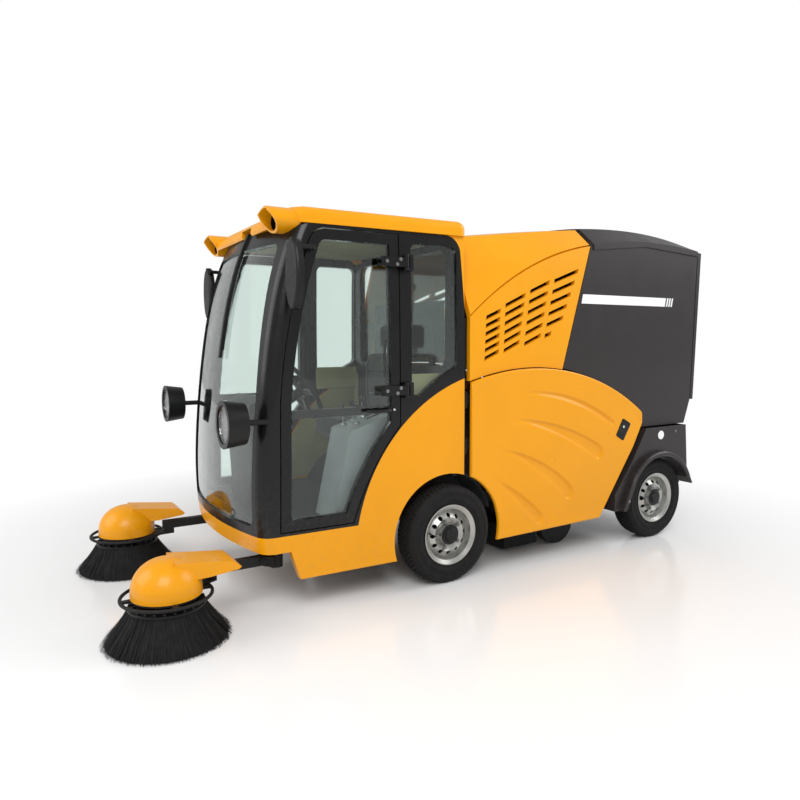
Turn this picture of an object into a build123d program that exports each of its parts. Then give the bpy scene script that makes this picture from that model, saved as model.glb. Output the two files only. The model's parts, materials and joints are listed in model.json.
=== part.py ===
from build123d import *
from collections import namedtuple
from math import cos, hypot, radians, sin, sqrt
import os

# Compact road sweeper: a glazed cab over the front axle, a louvred engine bay behind it, a tipping
# hopper over the rear axle, and two side brushes on arms ahead of the cab.
# Frame: +X forward, +Y to the driver's left, +Z up, millimetres. The origin is on the ground below
# the centre of the whole vehicle. Left pieces are drawn first and mirrored in the XZ plane.

os.makedirs("parts", exist_ok=True)

# ---------------------------------------------------------------- driving dimensions
FRONT_AXLE_X = 180.0
WHEELBASE = 1710.0
REAR_AXLE_X = FRONT_AXLE_X - WHEELBASE
TYRE_RADIUS = 275.0
TYRE_WIDTH = 155.0
WHEEL_Y = 605.0
AXLE_Z = TYRE_RADIUS
SEAT_CLEARANCE = 0.3  # gap between pieces that seat on or turn in each other
MOVING_GAP = 6.0  # shut line round doors, hopper and lids
ARCH_RADIUS = 340.0
REAR_ARCH_RADIUS = 292.0
SIDE_CUT = 900.0  # beyond the widest side

# chassis
RAIL_Y = 300.0
RAIL_WIDTH = 60.0
RAIL_WALL = 6.0
RAIL_LOW_Z = 330.0
RAIL_TOP_Z = 400.0
RAIL_FRONT_X = 1180.0
RAIL_REAR_X = -1890.0

# cab
CAB_REAR_X = 75.0
CAB_LOW_Z = 170.0
CAB_TOP_Z = 1960.0
CAB_WALL = 45.0
CORNER_RADIUS = 78.0
SIDE_TAPER = 22.0
NOSE_BOW = 55.0
FLOOR_THICKNESS = 15.0
DOOR_LOW_Z = 420.0
DOOR_TOP_Z = 1915.0
DOOR_FRAME_WIDTH = 52.0
GLASS_INSET = 10.0
GLASS_THICKNESS = 6.0
BUMPER_LOW_Z = 318.0

# engine bay and hopper
BAY_FRONT_X = 40.0
BODY_Y = 652.0
HOPPER_FRONT_TOP_X = -885.0
HOPPER_FRONT_LOW = (-668.0, 1180.0)
HOPPER_LOW_Z = 770.0
HOPPER_WALL = 25.0
SHELL_WALL = 30.0
HOPPER_REAR_X = -1970.0
TAILGATE_THICKNESS = 35.0
SIDE_DOOR_Y = 678.0
SIDE_DOOR_THICKNESS = 22.0
SILL_Z = 195.0

# brush gear
BRUSH_X = 1678.0
BRUSH_Y = 567.0
BRUSH_TIP_RADIUS = 292.0
GUARD_RADIUS = 199.0
ARM_PIVOT_X = 1190.0
ARM_PIVOT_Z = 250.0
SWING_PIVOT_X = 1120.0


def side_plane(y):
    """Plane facing -Y at distance y, with X to the right and Z up, for outlines seen from the side."""
    return Plane.XZ.offset(-y)


def side_sketch(flat):
    """Stands a flat (X, Z) sketch upright outside the left side."""
    return side_plane(SIDE_CUT).from_local_coords(flat)


def circle_through(first, second, third):
    """Centre and radius of the circle through three points."""
    (ax, ay), (bx, by), (cx, cy) = first, second, third
    turn = 2 * (ax * (by - cy) + bx * (cy - ay) + cx * (ay - by))
    first_sum, second_sum, third_sum = ax**2 + ay**2, bx**2 + by**2, cx**2 + cy**2
    centre_x = (first_sum * (by - cy) + second_sum * (cy - ay) + third_sum * (ay - by)) / turn
    centre_y = (first_sum * (cx - bx) + second_sum * (ax - cx) + third_sum * (bx - ax)) / turn
    return centre_x, centre_y, hypot(ax - centre_x, ay - centre_y)


def arc_z(arc, x):
    """Height at x of the upper side of the circle through an arc's three points."""
    centre_x, centre_z, radius = circle_through(*arc)
    return centre_z + sqrt(radius**2 - (x - centre_x) ** 2)


def chord_x(centre_x, radius, z):
    """X of the front side, at height z, of a circle round an axle's centre."""
    return centre_x + sqrt(radius**2 - (z - AXLE_Z) ** 2)


def keep(part, label):
    """Labels a finished piece and writes it as one STEP file."""
    part.label = label
    export_step(part, f"parts/{label}.step")


def keep_pair(part, label):
    """Writes a left piece and its mirror image as two nodes."""
    keep(part, f"{label}_left")
    keep(mirror(part, about=Plane.XZ), f"{label}_right")


# ---------------------------------------------------------------- envelopes
CabSection = namedtuple("CabSection", "height front_x half_width")
CAB_SECTIONS = (
    CabSection(CAB_LOW_Z, 1236, 632),
    CabSection(560, 1280, 640),
    CabSection(1050, 1250, 640),
    CabSection(1540, 1177, 634),
    CabSection(CAB_TOP_Z, 1030, 618),
)
CORNER_SETBACK = 35.0  # how far the front corners lie behind the nose's middle


def cab_envelope(inset):
    """Solid inside the cab's outer skin, drawn in by inset, lofted upwards through plan outlines."""
    with BuildPart() as envelope:
        for section in CAB_SECTIONS:
            rear_y = section.half_width + SIDE_TAPER / 2 - inset
            front_y = section.half_width - SIDE_TAPER / 2 - inset
            corner_x = section.front_x - CORNER_SETBACK - inset
            nose_x = section.front_x + NOSE_BOW - inset
            rear_x = CAB_REAR_X + inset
            with BuildSketch(Plane.XY.offset(section.height)) as outline:
                with BuildLine():
                    Polyline((corner_x, -front_y), (rear_x, -rear_y), (rear_x, rear_y), (corner_x, front_y))
                    ThreePointArc((corner_x, front_y), (nose_x, 0), (corner_x, -front_y))
                make_face()
                corners = outline.vertices().group_by(Axis.X)[-1]
                fillet(corners, radius=CORNER_RADIUS - inset)
        loft()
    return envelope.part


BodySection = namedtuple("BodySection", "x shoulder_z top_y top_z crown_z")
BODY_SECTIONS = (
    BodySection(BAY_FRONT_X, 1495, 452, 1940, 1972),
    BodySection(-425, 1785, 485, 1995, 2035),
    BodySection(HOPPER_FRONT_TOP_X, 1932, 522, 2045, 2080),
    BodySection(-1380, 1985, 545, 2060, 2088),
    BodySection(HOPPER_REAR_X, 1955, 565, 1985, 2005),
)
BODY_LOW_Z = 600.0


def body_envelope(inset):
    """Solid inside the engine bay's and hopper's skin, lofted rearwards through cross-sections."""
    with BuildPart() as envelope:
        for section in BODY_SECTIONS:
            side_y = BODY_Y - inset
            top_y = section.top_y - inset * 0.6
            top_z = section.top_z - inset
            shoulder_z = section.shoulder_z - inset * 0.6
            with BuildSketch(Plane.YZ.offset(section.x)):
                with BuildLine():
                    Polyline(
                        (-top_y, top_z),
                        (-side_y, shoulder_z),
                        (-side_y, BODY_LOW_Z),
                        (side_y, BODY_LOW_Z),
                        (side_y, shoulder_z),
                        (top_y, top_z),
                    )
                    ThreePointArc((top_y, top_z), (0, section.crown_z - inset), (-top_y, top_z))
                make_face()
        loft()
    return envelope.part


cab_outer = cab_envelope(0)
cab_inner = cab_envelope(CAB_WALL)
body_outer = body_envelope(0)
body_shell_inner = body_envelope(SHELL_WALL)
body_hopper_inner = body_envelope(HOPPER_WALL)

# ---------------------------------------------------------------- shared outlines (X, Z)
DOOR_ARC = ((BAY_FRONT_X, 1117.0), (-615.0, 1174.0), (-1375.0, 874.0))
SEAM_ARC = ((BAY_FRONT_X, 1480.0), (-459.0, 1802.0), (HOPPER_FRONT_TOP_X, 1930.0))
HOOD_REAR_X = HOPPER_FRONT_TOP_X + MOVING_GAP + 1
PANEL_REAR_LOW_X = HOPPER_FRONT_LOW[0] + MOVING_GAP


def seam_z(x):
    """Height of the seam between the hood and the side panels."""
    return arc_z(SEAM_ARC, x)


def door_edge_z(x):
    """Lower edge of what lies above the side door, one shut line clear of it."""
    return arc_z(DOOR_ARC, x) + MOVING_GAP


# ---------------------------------------------------------------- chassis: rails, cross members
PIN_RADIUS = 14.0
CYLINDER_Y = 180.0
CYLINDER_FOOT = (-980.0, 455.0)
CYLINDER_EYE = (-1420.0, 722.0)
CLEVIS_GAP = 40.0
CLEVIS_EAR = 12.0
EAR_RADIUS = 30.0
TOW_X = -1920.0
TOW_BORE_RADIUS = 13.0
TOW_EAR = 16.0
MEMBER_WIDTH = 60.0
MEMBER_PLACES = (1150.0, 620.0, -80.0, CYLINDER_FOOT[0], -1300.0, RAIL_REAR_X + MEMBER_WIDTH / 2)
Outrigger = namedtuple("Outrigger", "x width reach")
FENDER_Y = 692.0
FENDER_WALL = 12.0
FENDER_INNER_Y = 502.0
OUTRIGGERS = (
    Outrigger(640.0, 40.0, 585.0),
    Outrigger(-1190.0, 36.0, FENDER_Y - FENDER_WALL - SEAT_CLEARANCE),
    Outrigger(-1873.0, 24.0, 600.0),
)
rail_inner_y = RAIL_Y - RAIL_WIDTH / 2
rail_outer_y = RAIL_Y + RAIL_WIDTH / 2

with BuildPart() as chassis_frame:
    # channel rails, open to the middle
    for side in (-1, 1):
        with BuildSketch(Plane.YZ.offset(RAIL_REAR_X)):
            with Locations((side * RAIL_Y, (RAIL_LOW_Z + RAIL_TOP_Z) / 2)):
                Rectangle(RAIL_WIDTH, RAIL_TOP_Z - RAIL_LOW_Z)
            with Locations((side * (RAIL_Y - RAIL_WALL), (RAIL_LOW_Z + RAIL_TOP_Z) / 2)):
                Rectangle(RAIL_WIDTH, RAIL_TOP_Z - RAIL_LOW_Z - 2 * RAIL_WALL, mode=Mode.SUBTRACT)
        extrude(amount=RAIL_FRONT_X - RAIL_REAR_X)
    # cross members between the rails, and outriggers outside them
    with BuildSketch(Plane.XY.offset(RAIL_LOW_Z)):
        for x in MEMBER_PLACES:
            with Locations((x, 0)):
                Rectangle(MEMBER_WIDTH, 2 * (rail_inner_y - SEAT_CLEARANCE))
        for arm in OUTRIGGERS:
            start_y = rail_outer_y + SEAT_CLEARANCE
            for side in (-1, 1):
                with Locations((arm.x, side * (start_y + arm.reach) / 2)):
                    Rectangle(arm.width, arm.reach - start_y)
    extrude(amount=RAIL_TOP_Z - RAIL_LOW_Z)
    # towing clevis on the last cross member
    for level in (RAIL_LOW_Z + 8, RAIL_TOP_Z - 8 - TOW_EAR):
        with BuildSketch(Plane.XY.offset(level)):
            with Locations((RAIL_REAR_X - 10, 0)):
                Rectangle(40, 60)
            with Locations((TOW_X, 0)):
                Circle(30)
                Circle(TOW_BORE_RADIUS, mode=Mode.SUBTRACT)
        extrude(amount=TOW_EAR)
    # feet of the tipping cylinders: two ears and a pin each
    for side in (-1, 1):
        for ear in (-1, 1):
            ear_y = side * CYLINDER_Y + ear * (CLEVIS_GAP + CLEVIS_EAR) / 2
            with BuildSketch(side_plane(ear_y + CLEVIS_EAR / 2)):
                with Locations((CYLINDER_FOOT[0], RAIL_TOP_Z)):
                    Rectangle(2 * EAR_RADIUS, CYLINDER_FOOT[1] - RAIL_TOP_Z, align=(Align.CENTER, Align.MIN))
                with Locations(CYLINDER_FOOT):
                    Circle(EAR_RADIUS)
            extrude(amount=CLEVIS_EAR)
        with BuildSketch(side_plane(side * CYLINDER_Y + CLEVIS_GAP / 2 + CLEVIS_EAR)):
            with Locations(CYLINDER_FOOT):
                Circle(PIN_RADIUS)
        extrude(amount=CLEVIS_GAP + 2 * CLEVIS_EAR)
keep(chassis_frame.part, "chassis_frame")

# ---------------------------------------------------------------- hopper's hinge stands on the rails
HINGE_X = -1845.0
HINGE_Z = 735.0
HINGE_PLATE = 20.0
HINGE_BOSS = 30.0

with BuildPart() as hopper_stands:
    for side in (-1, 1):
        with BuildSketch(side_plane(side * RAIL_Y + HINGE_PLATE / 2)):
            with BuildLine():
                Polyline(
                    (HINGE_X - HINGE_BOSS, HINGE_Z),
                    (HINGE_X - 25, RAIL_TOP_Z + SEAT_CLEARANCE),
                    (HINGE_X + 110, RAIL_TOP_Z + SEAT_CLEARANCE),
                    (HINGE_X + HINGE_BOSS, HINGE_Z),
                )
                ThreePointArc(
                    (HINGE_X + HINGE_BOSS, HINGE_Z),
                    (HINGE_X, HINGE_Z + HINGE_BOSS),
                    (HINGE_X - HINGE_BOSS, HINGE_Z),
                )
            make_face()
            with Locations((HINGE_X, HINGE_Z)):
                Circle(PIN_RADIUS + SEAT_CLEARANCE, mode=Mode.SUBTRACT)
        extrude(amount=HINGE_PLATE)
keep(hopper_stands.part, "hopper_stands")

# ---------------------------------------------------------------- portal between cab and engine bay
POST_X = 57.0
POST_Y = 610.0
POST_TOP_Z = 1470.0
POST_DEPTH = 24.0
PORTAL_LOW_Z = 650.0
PORTAL_BEAM = 40.0
SIDE_HINGE_X = POST_X
SIDE_HINGE_Y = 640.0
SIDE_HINGE_LEVELS = (760.0, 1020.0)
SIDE_PIN_RADIUS = 6.0
HINGE_ARM = 14.0
KNUCKLE_HALF = 32.0

with BuildPart() as bay_portal:
    with BuildSketch(Plane.YZ.offset(POST_X - POST_DEPTH / 2)):
        for side in (-1, 1):
            foot_z = RAIL_TOP_Z + SEAT_CLEARANCE
            with Locations((side * RAIL_Y, foot_z)):
                Rectangle(PORTAL_BEAM, POST_TOP_Z - foot_z, align=(Align.CENTER, Align.MIN))
            with Locations((side * POST_Y, PORTAL_LOW_Z)):
                Rectangle(POST_DEPTH, POST_TOP_Z - PORTAL_LOW_Z, align=(Align.CENTER, Align.MIN))
        for level in (PORTAL_LOW_Z, POST_TOP_Z - PORTAL_BEAM):
            with Locations((0, level)):
                Rectangle(2 * POST_Y + POST_DEPTH, PORTAL_BEAM, align=(Align.CENTER, Align.MIN))
    extrude(amount=POST_DEPTH)
    # arms and pins of the side doors' hinges
    for side in (-1, 1):
        for level in SIDE_HINGE_LEVELS:
            for end in (-1, 1):
                arm_z = level + end * (KNUCKLE_HALF + 1 + HINGE_ARM / 2) - HINGE_ARM / 2
                with BuildSketch(Plane.XY.offset(arm_z)):
                    with Locations((POST_X, side * POST_Y)):
                        Rectangle(20, 2 * (SIDE_HINGE_Y - POST_Y))
                    with Locations((SIDE_HINGE_X, side * SIDE_HINGE_Y)):
                        Circle(10)
                extrude(amount=HINGE_ARM)
            with BuildSketch(Plane.XY.offset(level - KNUCKLE_HALF - HINGE_ARM)):
                with Locations((SIDE_HINGE_X, side * SIDE_HINGE_Y)):
                    Circle(SIDE_PIN_RADIUS)
            extrude(amount=2 * (KNUCKLE_HALF + HINGE_ARM))
    # tabs that carry the engine bay's side panels
    with BuildSketch(Plane.XY.offset(POST_TOP_Z - 260)):
        for side in (-1, 1):
            with Locations((POST_X - 30, side * (BODY_Y - SHELL_WALL - SEAT_CLEARANCE - 12))):
                Rectangle(60, 24)
    extrude(amount=200)
keep(bay_portal.part, "bay_portal")

# ---------------------------------------------------------------- axles, steering, wheels
KNUCKLE_Y = 480.0
KINGPIN_RADIUS = 14.0
FORK_HALF_GAP = 37.0
FORK_ARM = 16.0
AXLE_BEAM = 60.0
AXLE_TUBE = 32.0
DIFFERENTIAL_RADIUS = 85.0
HUB_BORE = 22.0
RIM_RADIUS = 152.0
RIM_FLANGE = 169.0
DISC_Y = 640.0
HUB_END_Y = DISC_Y + 30
STEER_ARM = 130.0
ARM_THICKNESS = 14.0
TIE_PIN_RADIUS = 8.0
TIE_ROD = 22.0

with BuildPart() as front_axle:
    with BuildSketch(Plane.YZ.offset(FRONT_AXLE_X - AXLE_BEAM / 2)):
        with Locations((0, AXLE_Z)):
            Rectangle(2 * (KNUCKLE_Y - 45), AXLE_BEAM)
    extrude(amount=AXLE_BEAM)
    # forks over and under each knuckle
    fork_z = FORK_HALF_GAP + FORK_ARM / 2
    for side in (-1, 1):
        for level in (-1, 1):
            with BuildSketch(Plane.XY.offset(AXLE_Z + level * fork_z - FORK_ARM / 2)):
                with Locations((FRONT_AXLE_X, side * (KNUCKLE_Y - 40))):
                    Rectangle(AXLE_BEAM, 80)
                with Locations((FRONT_AXLE_X, side * KNUCKLE_Y)):
                    Circle(AXLE_BEAM / 2)
            extrude(amount=FORK_ARM)
        with BuildSketch(Plane.XY.offset(AXLE_Z - FORK_HALF_GAP - FORK_ARM)):
            with Locations((FRONT_AXLE_X, side * (KNUCKLE_Y - 62))):
                Rectangle(AXLE_BEAM, 34)
        extrude(amount=2 * (FORK_HALF_GAP + FORK_ARM))
        with BuildSketch(Plane.XY.offset(AXLE_Z - FORK_HALF_GAP - FORK_ARM)):
            with Locations((FRONT_AXLE_X, side * KNUCKLE_Y)):
                Circle(KINGPIN_RADIUS)
        extrude(amount=2 * (FORK_HALF_GAP + FORK_ARM))
        # spring seats up to the rails
        with BuildSketch(Plane.XY.offset(AXLE_Z + AXLE_BEAM / 2)):
            with Locations((FRONT_AXLE_X, side * RAIL_Y)):
                Rectangle(AXLE_BEAM, RAIL_WIDTH)
        extrude(amount=RAIL_LOW_Z - AXLE_Z - AXLE_BEAM / 2)
keep(front_axle.part, "front_axle")

with BuildPart() as rear_axle:
    with BuildSketch(side_plane(WHEEL_Y - 60)):
        with Locations((REAR_AXLE_X, AXLE_Z)):
            Circle(AXLE_TUBE)
    extrude(amount=2 * (WHEEL_Y - 60))
    with BuildSketch(side_plane(HUB_END_Y)):
        with Locations((REAR_AXLE_X, AXLE_Z)):
            Circle(HUB_BORE)
    extrude(amount=2 * HUB_END_Y)
    with Locations((REAR_AXLE_X, 0, AXLE_Z)):
        Sphere(DIFFERENTIAL_RADIUS)
    with BuildSketch(Plane.XY.offset(AXLE_Z)):
        for side in (-1, 1):
            with Locations((REAR_AXLE_X, side * RAIL_Y)):
                Rectangle(RAIL_WIDTH, RAIL_WIDTH)
    extrude(amount=RAIL_LOW_Z - AXLE_Z)
keep(rear_axle.part, "rear_axle")

with BuildPart() as knuckle:
    with BuildSketch(Plane.XY.offset(AXLE_Z - FORK_HALF_GAP + SEAT_CLEARANCE)):
        with Locations((FRONT_AXLE_X, KNUCKLE_Y)):
            Circle(24)
    extrude(amount=2 * (FORK_HALF_GAP - SEAT_CLEARANCE))
    with BuildSketch(side_plane(HUB_END_Y)):
        with Locations((FRONT_AXLE_X, AXLE_Z)):
            Circle(HUB_BORE)
    extrude(amount=HUB_END_Y - KNUCKLE_Y)
    # steering arm reaching back to the track rod
    with BuildSketch(Plane.XY.offset(AXLE_Z - 34)):
        with Locations((FRONT_AXLE_X - STEER_ARM / 2 + 5, KNUCKLE_Y)):
            Rectangle(STEER_ARM + 10, 32)
        with Locations((FRONT_AXLE_X - STEER_ARM, KNUCKLE_Y)):
            Circle(16)
    extrude(amount=ARM_THICKNESS)
    with BuildSketch(Plane.XY.offset(AXLE_Z - 60)):
        with Locations((FRONT_AXLE_X - STEER_ARM, KNUCKLE_Y)):
            Circle(TIE_PIN_RADIUS)
    extrude(amount=30)
    with BuildSketch(Plane.XY.offset(AXLE_Z - FORK_HALF_GAP)):
        with Locations((FRONT_AXLE_X, KNUCKLE_Y)):
            Circle(KINGPIN_RADIUS + SEAT_CLEARANCE)
    extrude(amount=2 * FORK_HALF_GAP, mode=Mode.SUBTRACT)
keep_pair(knuckle.part, "knuckle")

with BuildPart() as tie_rod:
    with BuildSketch(Plane.XY.offset(AXLE_Z - 60)):
        with Locations((FRONT_AXLE_X - STEER_ARM, 0)):
            Rectangle(TIE_ROD, 2 * KNUCKLE_Y)
        for side in (-1, 1):
            with Locations((FRONT_AXLE_X - STEER_ARM, side * KNUCKLE_Y)):
                Circle(18)
        for side in (-1, 1):
            with Locations((FRONT_AXLE_X - STEER_ARM, side * KNUCKLE_Y)):
                Circle(TIE_PIN_RADIUS + SEAT_CLEARANCE, mode=Mode.SUBTRACT)
    extrude(amount=20)
keep(tie_rod.part, "tie_rod")

VENT_COUNT = 12
VENT_RADIUS = 12.0
VENT_CIRCLE = 106.0


def rim(axle_x):
    """Steel wheel on the left side of an axle, turned from its half section."""
    inner_y = WHEEL_Y - TYRE_WIDTH / 2 + 8
    outer_y = WHEEL_Y + TYRE_WIDTH / 2 - 8
    bore = HUB_BORE + SEAT_CLEARANCE
    section = (
        (RIM_FLANGE, inner_y),
        (RIM_RADIUS, inner_y + 8),
        (RIM_RADIUS, inner_y + 34),
        (RIM_RADIUS - 14, WHEEL_Y - 20),
        (RIM_RADIUS - 14, WHEEL_Y + 20),
        (RIM_RADIUS, outer_y - 34),
        (RIM_RADIUS, outer_y - 8),
        (RIM_FLANGE, outer_y),
        (RIM_FLANGE - 6, outer_y),
        (RIM_RADIUS - 8, outer_y - 12),
        (RIM_RADIUS - 20, WHEEL_Y + 25),
        (95, DISC_Y + 18),
        (62, DISC_Y),
        (58, DISC_Y + 26),
        (bore, HUB_END_Y),
        (bore, DISC_Y - 40),
        (58, DISC_Y - 40),
        (62, DISC_Y - 8),
        (95, DISC_Y + 8),
        (RIM_RADIUS - 26, WHEEL_Y + 20),
        (RIM_RADIUS - 20, WHEEL_Y - 22),
        (RIM_RADIUS - 8, inner_y + 12),
        (RIM_FLANGE - 6, inner_y),
    )
    with BuildPart() as wheel:
        with BuildSketch(Plane.XY.offset(AXLE_Z)):
            with BuildLine():
                Polyline(*[(axle_x + radius, y) for radius, y in section], close=True)
            make_face()
        revolve(axis=Axis((axle_x, 0, AXLE_Z), (0, 1, 0)))
        with BuildSketch(side_plane(WHEEL_Y + TYRE_WIDTH / 2)):
            with Locations((axle_x, AXLE_Z)):
                with PolarLocations(VENT_CIRCLE, VENT_COUNT):
                    Circle(VENT_RADIUS)
        extrude(amount=TYRE_WIDTH / 2, mode=Mode.SUBTRACT)
    return wheel.part


def tyre(axle_x):
    """Tyre on the left side of an axle, seated on the rim's barrel."""
    bead = RIM_RADIUS + SEAT_CLEARANCE
    half_width = TYRE_WIDTH / 2
    profile = ((bead, 59), (172, 61), (188, 70), (222, half_width), (262, 68), (TYRE_RADIUS, 54))
    with BuildPart() as rubber:
        with BuildSketch(Plane.XY.offset(AXLE_Z)):
            with BuildLine():
                outer = [(axle_x + radius, WHEEL_Y + half) for radius, half in profile]
                inner = [(axle_x + radius, WHEEL_Y - half) for radius, half in reversed(profile)]
                Polyline(*outer, *inner, close=True)
            make_face()
        revolve(axis=Axis((axle_x, 0, AXLE_Z), (0, 1, 0)))
    return rubber.part


for place, axle_x in (("front", FRONT_AXLE_X), ("rear", REAR_AXLE_X)):
    keep_pair(rim(axle_x), f"{place}_rim")
    keep_pair(tyre(axle_x), f"{place}_tyre")

# ---------------------------------------------------------------- engine
ENGINE_X = -250.0
ENGINE_LENGTH = 390.0
ENGINE_WIDTH = 500.0
ENGINE_FOOT = 60.0
ENGINE_HEIGHT = 560.0

with BuildPart() as engine_block:
    with BuildSketch(Plane.XY.offset(RAIL_TOP_Z + SEAT_CLEARANCE)):
        with Locations((ENGINE_X, 0)):
            Rectangle(ENGINE_LENGTH, 2 * RAIL_Y)
    extrude(amount=ENGINE_FOOT)
    with BuildSketch(Plane.XY.offset(RAIL_TOP_Z + ENGINE_FOOT)):
        with Locations((ENGINE_X, 0)):
            Rectangle(ENGINE_LENGTH, ENGINE_WIDTH)
    extrude(amount=ENGINE_HEIGHT)
keep(engine_block.part, "engine_block")

# ---------------------------------------------------------------- cab floor, wheel housings, rear wall
TUB_Y = 385.0
HOUSING_RADIUS = 355.0
HOUSING_WALL = 12.0
FLOOR_WIDE_X = 520.0
FLOOR_FRONT_X = 1190.0
SIDE_INNER_Y = 580.0
BELT_Z = 1140.0
REAR_PANEL = 30.0
FLOOR_Z = RAIL_TOP_Z + SEAT_CLEARANCE
FLOOR_TOP_Z = FLOOR_Z + FLOOR_THICKNESS


def housing_outline(inset):
    """Segment of the wheel housing's circle above the frame, drawn in by inset."""
    radius = HOUSING_RADIUS - inset
    foot_z = RAIL_TOP_Z - 30
    spread = sqrt(radius**2 - (foot_z - AXLE_Z) ** 2)
    front, rear = (FRONT_AXLE_X + spread, foot_z), (FRONT_AXLE_X - spread, foot_z)
    with BuildLine() as outline:
        ThreePointArc(front, (FRONT_AXLE_X, AXLE_Z + radius), rear)
        Line(rear, front)
    return outline.line


with BuildPart() as cab_floor:
    # floor plate, narrow between the wheel housings
    with BuildSketch(Plane.XY.offset(FLOOR_Z)):
        with BuildLine():
            Polyline(
                (CAB_REAR_X, -TUB_Y),
                (FLOOR_WIDE_X, -TUB_Y),
                (FLOOR_WIDE_X, -SIDE_INNER_Y),
                (FLOOR_FRONT_X - 60, -560),
                (FLOOR_FRONT_X, -480),
                (FLOOR_FRONT_X, 480),
                (FLOOR_FRONT_X - 60, 560),
                (FLOOR_WIDE_X, SIDE_INNER_Y),
                (FLOOR_WIDE_X, TUB_Y),
                (CAB_REAR_X, TUB_Y),
                close=True,
            )
        make_face()
    extrude(amount=FLOOR_THICKNESS)
    # wheel housings with their inner walls
    for start_y in (SIDE_INNER_Y, HOUSING_WALL - TUB_Y):
        with BuildSketch(side_plane(start_y)):
            add(housing_outline(0))
            make_face()
        extrude(amount=SIDE_INNER_Y - TUB_Y + HOUSING_WALL)
    for start_y in (SIDE_INNER_Y + 10, -TUB_Y):
        with BuildSketch(side_plane(start_y)):
            add(housing_outline(HOUSING_WALL))
            make_face()
        extrude(amount=SIDE_INNER_Y + 10 - TUB_Y, mode=Mode.SUBTRACT)
    # rear wall below the rear window, above the housings at the sides
    with BuildSketch(Plane.YZ.offset(CAB_REAR_X)):
        with Locations((0, FLOOR_Z)):
            Rectangle(2 * SIDE_INNER_Y, BELT_Z - 10 - FLOOR_Z, align=(Align.CENTER, Align.MIN))
        for side in (-1, 1):
            with Locations((side * (TUB_Y + 300), FLOOR_Z)):
                Rectangle(600, 2 * (AXLE_Z + HOUSING_RADIUS - 50 - FLOOR_Z), mode=Mode.SUBTRACT)
    extrude(amount=REAR_PANEL)
keep(cab_floor.part, "cab_floor")

# ---------------------------------------------------------------- cab outlines seen from the side
DOOR_HINGE_X = 462.0
DOOR_HINGE_Y = 668.0
DOOR_PIN_RADIUS = 6.0
DOOR_KNUCKLE = 25.0
CASTING_ARM = 14.0
HINGE_LEVELS = (1090.0, 1750.0)
CORNER_TOP = 95.0  # radius of the black side frame's upper corners
CURVE_REAR = (CAB_REAR_X, BELT_Z)
CURVE_MID = (560.0, 800.0)
CURVE_FOOT = (735.0, RAIL_TOP_Z)
STRIP_LOW_Z = 1530.0
STRIP_WIDTH = 30.0
DOOR_REAR_X = 488.0
DOOR_FRONT_TOP = (955.0, DOOR_TOP_Z - 22)
DOOR_FRONT_MID = (1063.0, 1540.0)
DOOR_FRONT_WAIST = (1140.0, 1050.0)
DOOR_FRONT_LOW = (1150.0, DOOR_LOW_Z)
DOOR_FOOT = (762.0, DOOR_LOW_Z)
DOOR_CURVE_MID = (655.0, 670.0)
DOOR_REAR_LOW = (DOOR_REAR_X, 905.0)
DOOR_REAR_TOP = (DOOR_REAR_X, DOOR_TOP_Z - 22)
CAB_NOSE_X = 1500.0  # ahead of the whole cab


def black_outline():
    """Outline of the black side frame (X, Z): rounded above, curved below, open to the front."""
    with BuildSketch(Plane.XY) as outline:
        with BuildLine():
            Polyline(
                CURVE_REAR,
                (CAB_REAR_X, STRIP_LOW_Z),
                (CAB_REAR_X + STRIP_WIDTH, DOOR_TOP_Z),
                (CAB_NOSE_X, DOOR_TOP_Z),
                (CAB_NOSE_X, RAIL_TOP_Z),
                CURVE_FOOT,
            )
            ThreePointArc(CURVE_FOOT, CURVE_MID, CURVE_REAR)
        make_face()
        corner = outline.vertices().sort_by_distance((CAB_REAR_X + STRIP_WIDTH, DOOR_TOP_Z))[0]
        fillet(corner, radius=CORNER_TOP)
    return outline.sketch


def door_outline(inset):
    """Outline of the door's leaf, drawn in by inset."""
    with BuildSketch(Plane.XY) as leaf:
        with BuildLine():
            Line(DOOR_REAR_TOP, DOOR_FRONT_TOP)
            ThreePointArc(DOOR_FRONT_TOP, DOOR_FRONT_MID, DOOR_FRONT_WAIST)
            Polyline(DOOR_FRONT_WAIST, DOOR_FRONT_LOW, DOOR_FOOT)
            ThreePointArc(DOOR_FOOT, DOOR_CURVE_MID, DOOR_REAR_LOW)
            Line(DOOR_REAR_LOW, DOOR_REAR_TOP)
        make_face()
        corner = leaf.vertices().sort_by_distance(DOOR_FRONT_TOP)[0]
        fillet(corner, radius=CORNER_TOP)
        if inset:
            offset(amount=-inset, mode=Mode.REPLACE)
    return leaf.sketch


black_side = side_sketch(black_outline())
BAR_Y = 495.0  # joints between the cab frame's sides and its cross bars
door_leaf = side_sketch(door_outline(0))
door_hole = side_sketch(door_outline(-MOVING_GAP))
door_window = side_sketch(door_outline(DOOR_FRAME_WIDTH))
cab_skin_outer = cab_envelope(GLASS_INSET)
cab_skin_inner = cab_envelope(GLASS_INSET + GLASS_THICKNESS)

WINDOW_CORNER = 40.0
QUARTER_REAR_X = CAB_REAR_X + 50
QUARTER_FRONT_X = 415.0
QUARTER_TOP_Z = DOOR_TOP_Z - 60
SCREEN_LOW_Z = 445.0
SCREEN_WAIST_Z = 1050.0
SCREEN_TOP_Z = DOOR_TOP_Z - 93
SCREEN_LOW_Y = 545.0
SCREEN_TOP_Y = 505.0
REAR_WINDOW_Y = 520.0
REAR_WINDOW_LOW_Z = BELT_Z + 60
REAR_WINDOW_TOP_Z = DOOR_TOP_Z - 60

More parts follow.
